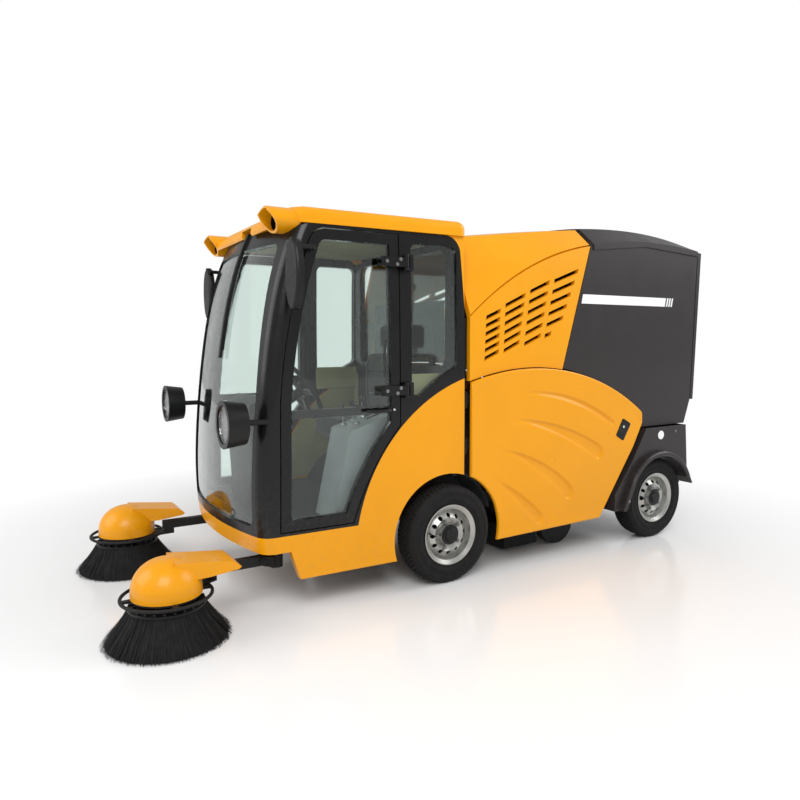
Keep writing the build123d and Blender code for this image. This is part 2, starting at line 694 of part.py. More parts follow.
with BuildPart() as quarter_window_cut:
    with BuildSketch(side_plane(SIDE_CUT)):
        with BuildLine():
            Polyline(
                (QUARTER_REAR_X, 1205),
                (QUARTER_REAR_X, QUARTER_TOP_Z),
                (QUARTER_FRONT_X, QUARTER_TOP_Z),
                (QUARTER_FRONT_X, 1000),
            )
            ThreePointArc((QUARTER_FRONT_X, 1000), (280, 1120), (QUARTER_REAR_X, 1205))
        make_face()
        fillet(vertices(), radius=WINDOW_CORNER)
    extrude(amount=SIDE_CUT)
    mirror(about=Plane.XZ)

with BuildPart() as windscreen_cut:
    with BuildSketch(Plane.YZ.offset(900)):
        with BuildLine():
            Polyline(
                (-SCREEN_LOW_Y, SCREEN_LOW_Z),
                (SCREEN_LOW_Y, SCREEN_LOW_Z),
                (SCREEN_LOW_Y, SCREEN_WAIST_Z),
                (SCREEN_TOP_Y, SCREEN_TOP_Z),
                (-SCREEN_TOP_Y, SCREEN_TOP_Z),
                (-SCREEN_LOW_Y, SCREEN_WAIST_Z),
                close=True,
            )
        make_face()
        fillet(vertices(), radius=WINDOW_CORNER)
    extrude(amount=700)

with BuildSketch(Plane.YZ) as rear_window:
    with Locations((0, (REAR_WINDOW_LOW_Z + REAR_WINDOW_TOP_Z) / 2)):
        RectangleRounded(2 * REAR_WINDOW_Y, REAR_WINDOW_TOP_Z - REAR_WINDOW_LOW_Z, 1.5 * WINDOW_CORNER)

# ---------------------------------------------------------------- cab frame: two sides, four cross bars
CASTING_REAR_X = 418.0
CASTING_FRONT_X = 445.0
CASTING_Y = 646.0
CASTING_DEPTH = 60.0
CASTING_EDGE = 8.0

with BuildPart() as black_region:
    extrude(black_side, amount=2 * SIDE_CUT)
    # squared behind, between the corner strips
    with BuildSketch(side_plane(BAR_Y)):
        with Locations((CAB_REAR_X, BELT_Z)):
            Rectangle(2 * CORNER_TOP, DOOR_TOP_Z - BELT_Z, align=Align.MIN)
    extrude(amount=2 * BAR_Y)

with BuildPart() as cab_frame:
    add(cab_outer)
    add(cab_inner, mode=Mode.SUBTRACT)
    add(black_region.part, mode=Mode.INTERSECT)
    extrude(door_hole, amount=2 * SIDE_CUT, mode=Mode.SUBTRACT)
    add(quarter_window_cut.part, mode=Mode.SUBTRACT)
    add(windscreen_cut.part, mode=Mode.SUBTRACT)
    extrude(rear_window.sketch, amount=2 * CAB_REAR_X, mode=Mode.SUBTRACT)
    # joints between the side frames and the cross bars over and under the screens
    for side in (-1, 1):
        with BuildSketch(side_plane(side * BAR_Y + SEAT_CLEARANCE / 2)):
            with Locations((CAB_REAR_X, RAIL_TOP_Z)):
                Rectangle(2 * CAB_NOSE_X, 2 * CAB_TOP_Z)
        extrude(amount=SEAT_CLEARANCE, mode=Mode.SUBTRACT)
    # castings and pins of the doors' hinges on the middle posts
    for side in (-1, 1):
        for level in HINGE_LEVELS:
            knuckle_gap = DOOR_KNUCKLE + 2
            with BuildSketch(Plane.XY.offset(level - knuckle_gap)):
                with Locations(((CASTING_REAR_X + CASTING_FRONT_X) / 2, side * CASTING_Y)):
                    RectangleRounded(CASTING_FRONT_X - CASTING_REAR_X, CASTING_DEPTH, CASTING_EDGE)
                with Locations((DOOR_HINGE_X, side * DOOR_HINGE_Y)):
                    Circle(DOOR_PIN_RADIUS)
            extrude(amount=2 * knuckle_gap)
            for arm_z in (level - knuckle_gap - CASTING_ARM, level + knuckle_gap):
                with BuildSketch(Plane.XY.offset(arm_z)):
                    with Locations((DOOR_HINGE_X, side * DOOR_HINGE_Y)):
                        Circle(CASTING_EDGE + 5)
                    with Locations(((CASTING_REAR_X + DOOR_HINGE_X) / 2, side * CASTING_Y)):
                        RectangleRounded(DOOR_HINGE_X - CASTING_REAR_X, CASTING_DEPTH, CASTING_EDGE)
                extrude(amount=CASTING_ARM)
keep(cab_frame.part, "cab_frame")

# ---------------------------------------------------------------- cab glass
with BuildPart() as windscreen:
    add(cab_skin_outer)
    add(cab_skin_inner, mode=Mode.SUBTRACT)
    add(windscreen_cut.part, mode=Mode.INTERSECT)
keep(windscreen.part, "windscreen")

with BuildPart() as quarter_glass:
    add(cab_skin_outer)
    add(cab_skin_inner, mode=Mode.SUBTRACT)
    add(quarter_window_cut.part, mode=Mode.INTERSECT)
with BuildPart() as rear_glass:
    extrude(rear_window.sketch.moved(Location((CAB_REAR_X + GLASS_INSET, 0, 0))), amount=GLASS_THICKNESS)
with BuildPart() as cab_windows:
    add(quarter_glass.part)
    add(rear_glass.part)
keep(cab_windows.part, "cab_windows")

# ---------------------------------------------------------------- cab doors
DOOR_BAR_Z = 990.0
DOOR_BAR_HEIGHT = 40.0
STRAP_FRONT_X = 610.0
STRAP_THICKNESS = 17.0
bar_outer = cab_envelope(GLASS_INSET + GLASS_THICKNESS + 4)

with BuildPart() as door_bar:
    add(bar_outer)
    add(cab_inner, mode=Mode.SUBTRACT)
    with BuildSketch(side_plane(SIDE_CUT)):
        with BuildLine():
            Polyline(
                (DOOR_REAR_X + 20, DOOR_BAR_Z - DOOR_BAR_HEIGHT / 2),
                (DOOR_FRONT_WAIST[0] - 20, DOOR_BAR_Z - DOOR_BAR_HEIGHT / 2),
                (DOOR_FRONT_WAIST[0] - 20, DOOR_BAR_Z + DOOR_BAR_HEIGHT / 2),
                (DOOR_REAR_X + 20, DOOR_BAR_Z + DOOR_BAR_HEIGHT / 2),
                close=True,
            )
        make_face()
    extrude(amount=SIDE_CUT, mode=Mode.INTERSECT)
with BuildPart() as cab_door:
    add(cab_outer)
    add(cab_inner, mode=Mode.SUBTRACT)
    extrude(door_leaf, amount=SIDE_CUT, mode=Mode.INTERSECT)
    extrude(door_window, amount=SIDE_CUT, mode=Mode.SUBTRACT)
    add(door_bar.part)
    # hinge castings across the rear stile, turning on the pins of the middle post
    for level in HINGE_LEVELS:
        with BuildSketch(Plane.XY.offset(level - DOOR_KNUCKLE)):
            with Locations((DOOR_HINGE_X, DOOR_HINGE_Y)):
                Circle(14)
            with Locations(((DOOR_HINGE_X + STRAP_FRONT_X) / 2, DOOR_HINGE_Y - 2)):
                RectangleRounded(STRAP_FRONT_X - DOOR_HINGE_X, STRAP_THICKNESS, 8)
            with Locations((DOOR_REAR_X + 30, DOOR_HINGE_Y - 30)):
                Rectangle(36, 56)
            with Locations((DOOR_HINGE_X, DOOR_HINGE_Y)):
                Circle(DOOR_PIN_RADIUS + SEAT_CLEARANCE, mode=Mode.SUBTRACT)
        extrude(amount=2 * DOOR_KNUCKLE)
keep_pair(cab_door.part, "door")

with BuildPart() as door_glass:
    add(cab_skin_outer)
    add(cab_skin_inner, mode=Mode.SUBTRACT)
    extrude(door_window, amount=SIDE_CUT, mode=Mode.INTERSECT)
keep_pair(door_glass.part, "door_glass")

# ---------------------------------------------------------------- mirrors on the doors' front stiles
MIRROR_X = 1085.0
MIRROR_DEPTH = 40.0
MIRROR_Y = 735.0
MIRROR_Z = 1650.0
MIRROR_HALF_WIDTH = 76.0
MIRROR_HALF_HEIGHT = 162.0
MIRROR_RIM = 8.0
MIRROR_TUBE = 11.0
MIRROR_ARM_X = 975.0
MIRROR_ARM_Y = 680.0
MIRROR_ARM_Z = 1790.0

with BuildPart() as door_mirror:
    with BuildSketch(Plane.YZ.offset(MIRROR_X)):
        with Locations((MIRROR_Y, MIRROR_Z)):
            Ellipse(MIRROR_HALF_WIDTH, MIRROR_HALF_HEIGHT)
    extrude(amount=MIRROR_DEPTH)
    fillet(door_mirror.edges().group_by(Axis.X)[-1], radius=18)
    with BuildSketch(Plane.YZ.offset(MIRROR_X)):
        with Locations((MIRROR_Y, MIRROR_Z)):
            Ellipse(MIRROR_HALF_WIDTH - MIRROR_RIM, MIRROR_HALF_HEIGHT - MIRROR_RIM)
    extrude(amount=5, mode=Mode.SUBTRACT)
    # bent tube from the door's upper front corner
    with BuildSketch(side_plane(MIRROR_Y)):
        with Locations((MIRROR_X + MIRROR_DEPTH / 2, MIRROR_ARM_Z)):
            Circle(MIRROR_TUBE)
    extrude(amount=MIRROR_Y - MIRROR_ARM_Y)
    with BuildSketch(Plane.YZ.offset(MIRROR_X + MIRROR_DEPTH / 2 + MIRROR_TUBE)):
        with Locations((MIRROR_ARM_Y, MIRROR_ARM_Z)):
            Circle(MIRROR_TUBE)
    extrude(amount=MIRROR_ARM_X - MIRROR_X - MIRROR_DEPTH / 2 - MIRROR_TUBE)
    with BuildSketch(side_plane(MIRROR_ARM_Y)):
        with Locations((MIRROR_ARM_X, MIRROR_ARM_Z)):
            Circle(MIRROR_TUBE)
    extrude(amount=80)
    add(cab_outer, mode=Mode.SUBTRACT)
keep_pair(door_mirror.part, "door_mirror")

# ---------------------------------------------------------------- roof
ROOF_TOP_Z = 1997.0
ROOF_WALL = 40.0
ROOF_EDGE = 48.0
HORN_Y = 508.0
HORN_TIP_X = 1171.0
HORN_RADIUS = 62.0
HORN_REAR_X = 860.0
HORN_Z = 1930.0
BROW_FRONT_X = 1128.0
RECESS_Y = 130.0
ROOF_INSIDE_Z = 1800.0

with BuildPart() as cab_roof:
    # crown
    with BuildSketch(Plane.XY.offset(DOOR_TOP_Z)) as roof_plan:
        with BuildLine():
            Polyline((1010, -612), (62, -652), (62, 652), (1010, 612), (1070, 540), (1070, -540), close=True)
        make_face()
        fillet(roof_plan.vertices().group_by(Axis.X)[0], radius=40)
    extrude(amount=ROOF_TOP_Z - DOOR_TOP_Z)
    fillet(cab_roof.edges().group_by(Axis.Z)[-1], radius=ROOF_EDGE)
    # brow over the windscreen between two horns
    with BuildSketch(side_plane(HORN_Y)):
        with BuildLine():
            Polyline(
                (900, 1985),
                (1040, 1985),
                (BROW_FRONT_X, 1935),
                (BROW_FRONT_X + 6, 1892),
                (1035, DOOR_TOP_Z),
                (900, DOOR_TOP_Z),
                close=True,
            )
        make_face()
    extrude(amount=2 * HORN_Y)
    with BuildSketch(Plane.YZ.offset(HORN_REAR_X)):
        for side in (-1, 1):
            with Locations((side * HORN_Y, HORN_Z)):
                Ellipse(HORN_RADIUS + 26, HORN_RADIUS)
    extrude(amount=HORN_TIP_X - HORN_REAR_X)
    # horns cut back below their tips, and hollow
    with BuildSketch(side_plane(SIDE_CUT)):
        with BuildLine():
            Polyline(
                (HORN_TIP_X - 62, HORN_Z - HORN_RADIUS - 5),
                (HORN_TIP_X - 40, HORN_Z - HORN_RADIUS * 0.4),
                (HORN_TIP_X, HORN_Z + HORN_RADIUS * 0.5),
                (HORN_TIP_X - 12, HORN_Z + HORN_RADIUS + 5),
                (HORN_TIP_X + 30, HORN_Z + HORN_RADIUS + 5),
                (HORN_TIP_X + 30, HORN_Z - HORN_RADIUS - 5),
                close=True,
            )
        make_face()
    extrude(amount=2 * SIDE_CUT, mode=Mode.SUBTRACT)
    with BuildSketch(Plane.YZ.offset(HORN_TIP_X - 110)):
        for side in (-1, 1):
            with Locations((side * HORN_Y, HORN_Z)):
                Ellipse(HORN_RADIUS + 15, HORN_RADIUS - 11)
    extrude(amount=120, mode=Mode.SUBTRACT)
    # recess of the wiper's motor
    with BuildSketch(Plane.YZ.offset(BROW_FRONT_X - 60)):
        with Locations((RECESS_Y, 1890)):
            Rectangle(150, 90)
    extrude(amount=90, mode=Mode.SUBTRACT)
    # underside open to the cab
    with BuildSketch(Plane.XY.offset(ROOF_INSIDE_Z)):
        with Locations((540, 0)):
            Rectangle(840, 1100)
    extrude(amount=ROOF_TOP_Z - ROOF_WALL - ROOF_INSIDE_Z, mode=Mode.SUBTRACT)
    add(cab_frame.part, mode=Mode.SUBTRACT)
    add(windscreen.part, mode=Mode.SUBTRACT)
    extrude(door_hole, amount=2 * SIDE_CUT, mode=Mode.SUBTRACT)
keep(cab_roof.part, "cab_roof")

# ---------------------------------------------------------------- yellow panels round the cab
SILL_SPLIT_X = 1100.0
SILL_NOTCH_X = 1050.0
arch_top_x = chord_x(FRONT_AXLE_X, ARCH_RADIUS, RAIL_TOP_Z)
arch_foot_x = chord_x(FRONT_AXLE_X, ARCH_RADIUS, CAB_LOW_Z)
arch_rear_z = AXLE_Z + sqrt(ARCH_RADIUS**2 - (FRONT_AXLE_X - CAB_REAR_X) ** 2)


def arch_point(radius, angle):
    """Point (X, Z) on a circle round the front axle, angle in degrees from +X."""
    return FRONT_AXLE_X + radius * cos(radians(angle)), AXLE_Z + radius * sin(radians(angle))


with BuildPart() as quarter_panel:
    add(cab_outer)
    add(cab_inner, mode=Mode.SUBTRACT)
    with BuildSketch(side_plane(SIDE_CUT)):
        with BuildLine():
            Line(CURVE_REAR, (CAB_REAR_X, arch_rear_z))
            ThreePointArc((CAB_REAR_X, arch_rear_z), arch_point(ARCH_RADIUS, 60), (arch_top_x, RAIL_TOP_Z))
            Line((arch_top_x, RAIL_TOP_Z), CURVE_FOOT)
            ThreePointArc(CURVE_FOOT, CURVE_MID, CURVE_REAR)
        make_face()
    extrude(amount=SIDE_CUT - SIDE_INNER_Y, mode=Mode.INTERSECT)
with BuildPart() as corner_strip:
    add(cab_outer)
    add(cab_inner, mode=Mode.SUBTRACT)
    with BuildSketch(side_plane(SIDE_CUT)):
        with Locations((CAB_REAR_X, STRIP_LOW_Z)):
            Rectangle(3 * CORNER_TOP, DOOR_TOP_Z - STRIP_LOW_Z - SEAT_CLEARANCE, align=Align.MIN)
        add(black_outline(), mode=Mode.SUBTRACT)
    extrude(amount=SIDE_CUT - BAR_Y - SEAT_CLEARANCE, mode=Mode.INTERSECT)
    extrude(rear_window.sketch, amount=2 * CAB_REAR_X, mode=Mode.SUBTRACT)
with BuildPart() as quarter_panels:
    for panel in (quarter_panel.part, corner_strip.part):
        add(panel)
        add(mirror(panel, about=Plane.XZ, mode=Mode.PRIVATE))
keep(quarter_panels.part, "quarter_panels")

with BuildPart() as sill_panel:
    add(cab_outer)
    add(cab_inner, mode=Mode.SUBTRACT)
    with BuildSketch(side_plane(SIDE_CUT)):
        with BuildLine():
            Polyline(
                (arch_top_x, RAIL_TOP_Z),
                (SILL_SPLIT_X, RAIL_TOP_Z),
                (SILL_SPLIT_X, BUMPER_LOW_Z),
                (SILL_NOTCH_X, CAB_LOW_Z),
                (arch_foot_x, CAB_LOW_Z),
            )
            ThreePointArc((arch_foot_x, CAB_LOW_Z), arch_point(ARCH_RADIUS, 0), (arch_top_x, RAIL_TOP_Z))
        make_face()
    extrude(amount=SIDE_CUT, mode=Mode.INTERSECT)
with BuildPart() as sill_panels:
    add(sill_panel.part)
    add(mirror(sill_panel.part, about=Plane.XZ, mode=Mode.PRIVATE))
keep(sill_panels.part, "sill_panels")

BUMPER_STUB = 85.0
with BuildPart() as front_bumper:
    add(cab_outer)
    add(cab_inner, mode=Mode.SUBTRACT)
    with BuildSketch(side_plane(SIDE_CUT)):
        with Locations((SILL_SPLIT_X, BUMPER_LOW_Z)):
            Rectangle(400, RAIL_TOP_Z - BUMPER_LOW_Z, align=Align.MIN)
    extrude(amount=2 * SIDE_CUT, mode=Mode.INTERSECT)
    with BuildSketch(Plane.XY.offset(RAIL_LOW_Z)):
        for side in (-1, 1):
            with Locations((RAIL_FRONT_X + SEAT_CLEARANCE, side * RAIL_Y)):
                Rectangle(BUMPER_STUB, RAIL_WIDTH, align=(Align.MIN, Align.CENTER))
    extrude(amount=RAIL_TOP_Z - RAIL_LOW_Z)
keep(front_bumper.part, "front_bumper")

# ---------------------------------------------------------------- cab inside
SEAT_BASE_X = 400.0
SEAT_BASE_HEIGHT = 375.0
SEAT_WIDTH = 490.0
SEAT_CORNER = 25.0

with BuildPart() as seat:
    with BuildSketch(Plane.XY.offset(FLOOR_TOP_Z + SEAT_CLEARANCE)):
        with Locations((SEAT_BASE_X, 0)):
            Rectangle(300, 420)
    extrude(amount=SEAT_BASE_HEIGHT)
    # cushion and backrest
    with BuildSketch(side_plane(SEAT_WIDTH / 2)):
        with BuildLine():
            Polyline(
                (190, 765),
                (640, 785),
                (650, 880),
                (260, 870),
                (200, 1290),
                (130, 1290),
                (150, 765),
                close=True,
            )
        make_face()
        fillet(vertices(), radius=SEAT_CORNER)
    extrude(amount=SEAT_WIDTH)
    # headrest on its two posts
    with BuildSketch(Plane.XY.offset(1270)):
        with Locations((163, 60), (163, -60)):
            Circle(7)
    extrude(amount=60)
    with BuildSketch(side_plane(130)):
        with Locations((163, 1375)):
            RectangleRounded(80, 170, 30)
    extrude(amount=260)
keep(seat.part, "seat")

with BuildPart() as side_console:
    with BuildSketch(side_plane(560)):
        with BuildLine():
            Polyline(
                (560, FLOOR_TOP_Z + SEAT_CLEARANCE),
                (840, FLOOR_TOP_Z + SEAT_CLEARANCE),
                (740, 880),
                (400, 985),
                (400, 650),
                (530, 650),
                close=True,
            )
        make_face()
        fillet(vertices().group_by(Axis.Y)[-1], radius=40)
    extrude(amount=230)
keep(side_console.part, "side_console")

COLUMN_TOP = (1000.0, 920.0)
COLUMN_RADIUS = 28.0
COLUMN_LENGTH = 250.0
COLUMN_DIRECTION = (-0.85, 0.53)
WHEEL_RIM_RADIUS = 178.0
WHEEL_RIM_TUBE = 13.0
WHEEL_HUB_RADIUS = 45.0


def column_plane(distance):
    """Plane square to the steering column, at a distance from its foot."""
    lean_x, lean_z = COLUMN_DIRECTION
    origin = (COLUMN_TOP[0] + lean_x * distance, 0, COLUMN_TOP[1] + lean_z * distance)
    return Plane(origin=origin, x_dir=(0, 1, 0), z_dir=(lean_x, 0, lean_z))


with BuildPart() as dashboard:
    with BuildSketch(side_plane(210)):
        with BuildLine():
            Polyline(
                (940, FLOOR_TOP_Z + SEAT_CLEARANCE),
                (1130, FLOOR_TOP_Z + SEAT_CLEARANCE),
                (1160, 1000),
                (1080, 1050),
                (960, 960),
                close=True,
            )
        make_face()
        fillet(vertices().group_by(Axis.Y)[1:], radius=20)
    extrude(amount=420)
    with BuildSketch(column_plane(0)):
        Circle(COLUMN_RADIUS)
    extrude(amount=COLUMN_LENGTH)
keep(dashboard.part, "dashboard")

with BuildPart() as steering_wheel:
    with BuildSketch(column_plane(COLUMN_LENGTH + SEAT_CLEARANCE)):
        Circle(WHEEL_HUB_RADIUS)
        with PolarLocations(WHEEL_RIM_RADIUS / 2, 3):
            Rectangle(WHEEL_RIM_RADIUS, 30)
    extrude(amount=2 * WHEEL_RIM_TUBE - 6)
    rim_plane = column_plane(COLUMN_LENGTH + SEAT_CLEARANCE + WHEEL_RIM_TUBE)
    with Locations(rim_plane.location):
        Torus(WHEEL_RIM_RADIUS, WHEEL_RIM_TUBE)
keep(steering_wheel.part, "steering_wheel")

# ---------------------------------------------------------------- work lamps
LAMP_X = 1382.0
LAMP_Y = 622.0
LAMP_Z = 965.0
LAMP_RADIUS = 98.0
LAMP_DEPTH = 100.0
LAMP_RECESS = 25.0
LAMP_STALK = 14.0
LENS_THICKNESS = 16.0
lens_x = LAMP_X + LAMP_DEPTH - 60 - LAMP_RECESS

with BuildPart() as work_lamps:
    for side in (-1, 1):
        with BuildSketch(Plane.YZ.offset(LAMP_X - 60)):
            with Locations((side * LAMP_Y, LAMP_Z)):
                Circle(LAMP_RADIUS)
        extrude(amount=LAMP_DEPTH, taper=-8)
        with BuildSketch(Plane.YZ.offset(lens_x)):
            with Locations((side * LAMP_Y, LAMP_Z)):
                Circle(LAMP_RADIUS - 8)
        extrude(amount=LAMP_DEPTH, mode=Mode.SUBTRACT)
        with BuildSketch(Plane.YZ.offset(SILL_SPLIT_X + 80)):
            with Locations((side * (LAMP_Y - 12), LAMP_Z)):
                Circle(LAMP_STALK)
        extrude(amount=LAMP_X - 60 - SILL_SPLIT_X - 80)
    add(cab_outer, mode=Mode.SUBTRACT)
keep(work_lamps.part, "work_lamps")

with BuildPart() as lamp_lenses:
    with BuildSketch(Plane.YZ.offset(lens_x + SEAT_CLEARANCE)):
        for side in (-1, 1):
            with Locations((side * LAMP_Y, LAMP_Z)):
                Circle(LAMP_RADIUS - 8 - SEAT_CLEARANCE)
    extrude(amount=LENS_THICKNESS)
keep(lamp_lenses.part, "lamp_lenses")

# ---------------------------------------------------------------- engine bay: hood and louvred panels
SEAM_GROOVE = 9.0
SEAM_DEPTH = 10.0
body_seam_floor = body_envelope(SEAM_DEPTH)

with BuildPart() as hood_seam:
    add(body_outer)
    add(body_seam_floor, mode=Mode.SUBTRACT)
    with BuildSketch(side_plane(SIDE_CUT)):
        with BuildLine():
            low = [(x, seam_z(x)) for x in (BAY_FRONT_X, -459, HOOD_REAR_X)]
            high = [(x, z + SEAM_GROOVE) for x, z in low]
            ThreePointArc(*low)
            Line(low[2], high[2])
            ThreePointArc(high[2], high[1], high[0])
            Line(high[0], low[0])
        make_face()
    extrude(amount=2 * SIDE_CUT, mode=Mode.INTERSECT)

with BuildPart() as engine_hood:
    add(body_outer)
    add(body_shell_inner, mode=Mode.SUBTRACT)
    with BuildSketch(side_plane(SIDE_CUT)):
        with BuildLine():
            seat_line = [(x, seam_z(x) + SEAT_CLEARANCE) for x in (BAY_FRONT_X, -459, HOOD_REAR_X)]
            ThreePointArc(*seat_line)
            Polyline(seat_line[2], (HOOD_REAR_X, 2200), (BAY_FRONT_X, 2200), seat_line[0])
        make_face()
    extrude(amount=2 * SIDE_CUT, mode=Mode.INTERSECT)
    add(hood_seam.part, mode=Mode.SUBTRACT)
keep(engine_hood.part, "engine_hood")

# each louvre slot leans and shortens with its row; the rows fan out towards the rear
SlotColumn = namedtuple("SlotColumn", "front_x front_lean rear_x rear_lean low_z pitch slope first last")
SLOT_COLUMNS = (
    SlotColumn(-60, 2, -163, 2, 1246, 46, 0.42, 0, 5),
    SlotColumn(-198, 2, -316, 8, 1289, 51.6, 0.45, 0, 5),
    SlotColumn(-352, 8, -481, 12.5, 1327, 61, 0.42, 0, 5),
    SlotColumn(-511, 14, -563, 0, 1374, 65.5, 0.37, 0, 0),
    SlotColumn(-511, 14, -628, 30, 1374, 65.5, 0.37, 1, 5),
)
SLOT_HEIGHT = 25.0

with BuildPart() as grille_panel:
    add(body_outer)
    add(body_shell_inner, mode=Mode.SUBTRACT)
    with BuildSketch(side_plane(SIDE_CUT)):
        with BuildLine():
            top = [(x, seam_z(x)) for x in (BAY_FRONT_X, -459, HOOD_REAR_X)]
            low = [(x, door_edge_z(x)) for x in (PANEL_REAR_LOW_X, -300, BAY_FRONT_X)]
            ThreePointArc(*top)
            Line(top[2], low[0])
            ThreePointArc(*low)
            Line(low[2], top[0])
        make_face()
    extrude(amount=SIDE_CUT, mode=Mode.INTERSECT)
    with BuildSketch(side_plane(SIDE_CUT)):
        for column in SLOT_COLUMNS:
            for row in range(column.first, column.last + 1):
                front_x = column.front_x - column.front_lean * row
                rear_x = column.rear_x - column.rear_lean * row
                front_z = column.low_z + column.pitch * row - SLOT_HEIGHT / 2
                rear_z = front_z + column.slope * (front_x - rear_x)
                with BuildLine():
                    Polyline(
                        (front_x, front_z),
                        (rear_x, rear_z),
                        (rear_x - 4, rear_z + SLOT_HEIGHT),
                        (front_x - 4, front_z + SLOT_HEIGHT),
                        close=True,
                    )
                make_face()
    extrude(amount=SIDE_CUT, mode=Mode.SUBTRACT)
with BuildPart() as grille_panels:
    add(grille_panel.part)
    add(mirror(grille_panel.part, about=Plane.XZ, mode=Mode.PRIVATE))
keep(grille_panels.part, "grille_panels")

# ---------------------------------------------------------------- side doors with their pressed scoops
SIDE_DOOR_SKIN = 14.0
SIDE_DOOR_RIM = 34.0
STRAP_DEPTH = 8.0
STRAP_REACH = SIDE_DOOR_Y - SIDE_DOOR_THICKNESS + 2 - SIDE_HINGE_Y + STRAP_DEPTH
SIDE_DOOR_EDGE = 9.0
SCOOP_DEPTH = 6.0
DOOR_REAR_POINTS = ((-1377.0, 800.0), (-1297.0, 650.0), (-991.0, 208.0), (-150.0, SILL_Z))
arch_bay_z = AXLE_Z + sqrt(ARCH_RADIUS**2 - (FRONT_AXLE_X - BAY_FRONT_X) ** 2)
# upper edge, blunt rear end and lower edge of each scoop, as points (X, Z) on the door
Scoop = namedtuple("Scoop", "start upper rear_top rear_end rear_low lower")
SCOOPS = (
    Scoop((-119, 1030), (-620, 1030), (-1085, 845), (-1112, 806), (-1070, 795), (-605, 985)),
    Scoop((-97, 902), (-560, 852), (-975, 690), (-1010, 632), (-935, 590), (-520, 795)),
    Scoop((-62, 745), (-425, 650), (-735, 452), (-755, 402), (-660, 390), (-375, 600)),
    Scoop((-60, 592), (-265, 485), (-480, 320), (-505, 268), (-425, 262), (-225, 445)),
)
LATCH_RECESS = ((-1185, 844), (-1259, 804), (-1191, 695), (-1122, 735))


def side_door_sketch(inset):
    """Outline of a side door (X, Z), drawn in by inset."""
    with BuildSketch(Plane.XY) as outline:
        with BuildLine():
            ThreePointArc(*DOOR_ARC)
            Polyline(DOOR_ARC[2], *DOOR_REAR_POINTS)
            ThreePointArc(DOOR_REAR_POINTS[-1], arch_point(ARCH_RADIUS, 145), (BAY_FRONT_X, arch_bay_z))
            Line((BAY_FRONT_X, arch_bay_z), DOOR_ARC[0])
        make_face()
        for corner, radius in ((DOOR_ARC[2], 45), (DOOR_REAR_POINTS[0], 60), (DOOR_REAR_POINTS[1], 200)):
            fillet(outline.vertices().sort_by_distance(corner)[0], radius=radius)
        if inset:
            offset(amount=-inset, mode=Mode.REPLACE)
    return outline.sketch


with BuildPart() as side_door:
    extrude(side_plane(SIDE_DOOR_Y).from_local_coords(side_door_sketch(0)), amount=SIDE_DOOR_THICKNESS)
    outer_edges = side_door.edges().group_by(Axis.Y)[-1]
    chamfer(outer_edges, length=SIDE_DOOR_EDGE)
    hollow_y = SIDE_DOOR_Y - SIDE_DOOR_SKIN
    extrude(
        side_plane(hollow_y).from_local_coords(side_door_sketch(SIDE_DOOR_RIM)),
        amount=SIDE_DOOR_THICKNESS,
        mode=Mode.SUBTRACT,
    )
    with BuildSketch(side_plane(SIDE_DOOR_Y)):
        for scoop in SCOOPS:
            with BuildLine():
                ThreePointArc(scoop.start, scoop.upper, scoop.rear_top)
                ThreePointArc(scoop.rear_top, scoop.rear_end, scoop.rear_low)
                ThreePointArc(scoop.rear_low, scoop.lower, scoop.start)
            make_face()
        with BuildLine():
            Polyline(*LATCH_RECESS, close=True)
        make_face()
    extrude(amount=SCOOP_DEPTH, mode=Mode.SUBTRACT)
    # knuckles behind the front edge, on straps from the inner face
    for level in SIDE_HINGE_LEVELS:
        with BuildSketch(Plane.XY.offset(level - KNUCKLE_HALF)):
            with Locations((SIDE_HINGE_X, SIDE_HINGE_Y)):
                Circle(9)
            with Locations(((SIDE_HINGE_X + 15) / 2, SIDE_HINGE_Y - 2)):
                Rectangle(SIDE_HINGE_X - 15, 10)
            with Locations((20, SIDE_HINGE_Y - STRAP_DEPTH)):
                Rectangle(24, STRAP_REACH, align=(Align.CENTER, Align.MIN))
            with Locations((SIDE_HINGE_X, SIDE_HINGE_Y)):
                Circle(SIDE_PIN_RADIUS + SEAT_CLEARANCE, mode=Mode.SUBTRACT)
        extrude(amount=2 * KNUCKLE_HALF)
keep_pair(side_door.part, "side_door")

# ---------------------------------------------------------------- hopper
HOPPER_FRONT_LOW_X = -1387.0
HOPPER_FLOOR_REAR = (-1840.0, HOPPER_LOW_Z)
HOPPER_REAR_LOW = (-1896.0, 930.0)
HOPPER_REAR_TOP = (-1935.0, 2200.0)
HOPPER_FRONT_TOP = (HOPPER_FRONT_TOP_X - 78, 2200.0)
MOUTH_X = -1800.0
MOUTH_LOW_Z = 955.0
MOUTH_TOP_Z = 1960.0
TAILGATE_HINGE = (-1940.0, 2030.0)
TAILGATE_HINGE_Y = 380.0
TAILGATE_PIN_RADIUS = 7.0
TAILGATE_EAR = 10.0
TAILGATE_LUG = 48.0
LUG_Y = RAIL_Y - HINGE_PLATE - 1
FITTING_TOP_Z = HOPPER_LOW_Z + 10  # fittings reach into the hopper's floor
ROOF_FOOT_Z = 1985.0
LID_RISE = 8.0
LID_LINE = ((-905.0, 1909.0), (-1380.0, 1960.0), (-1922.0, 1932.0))


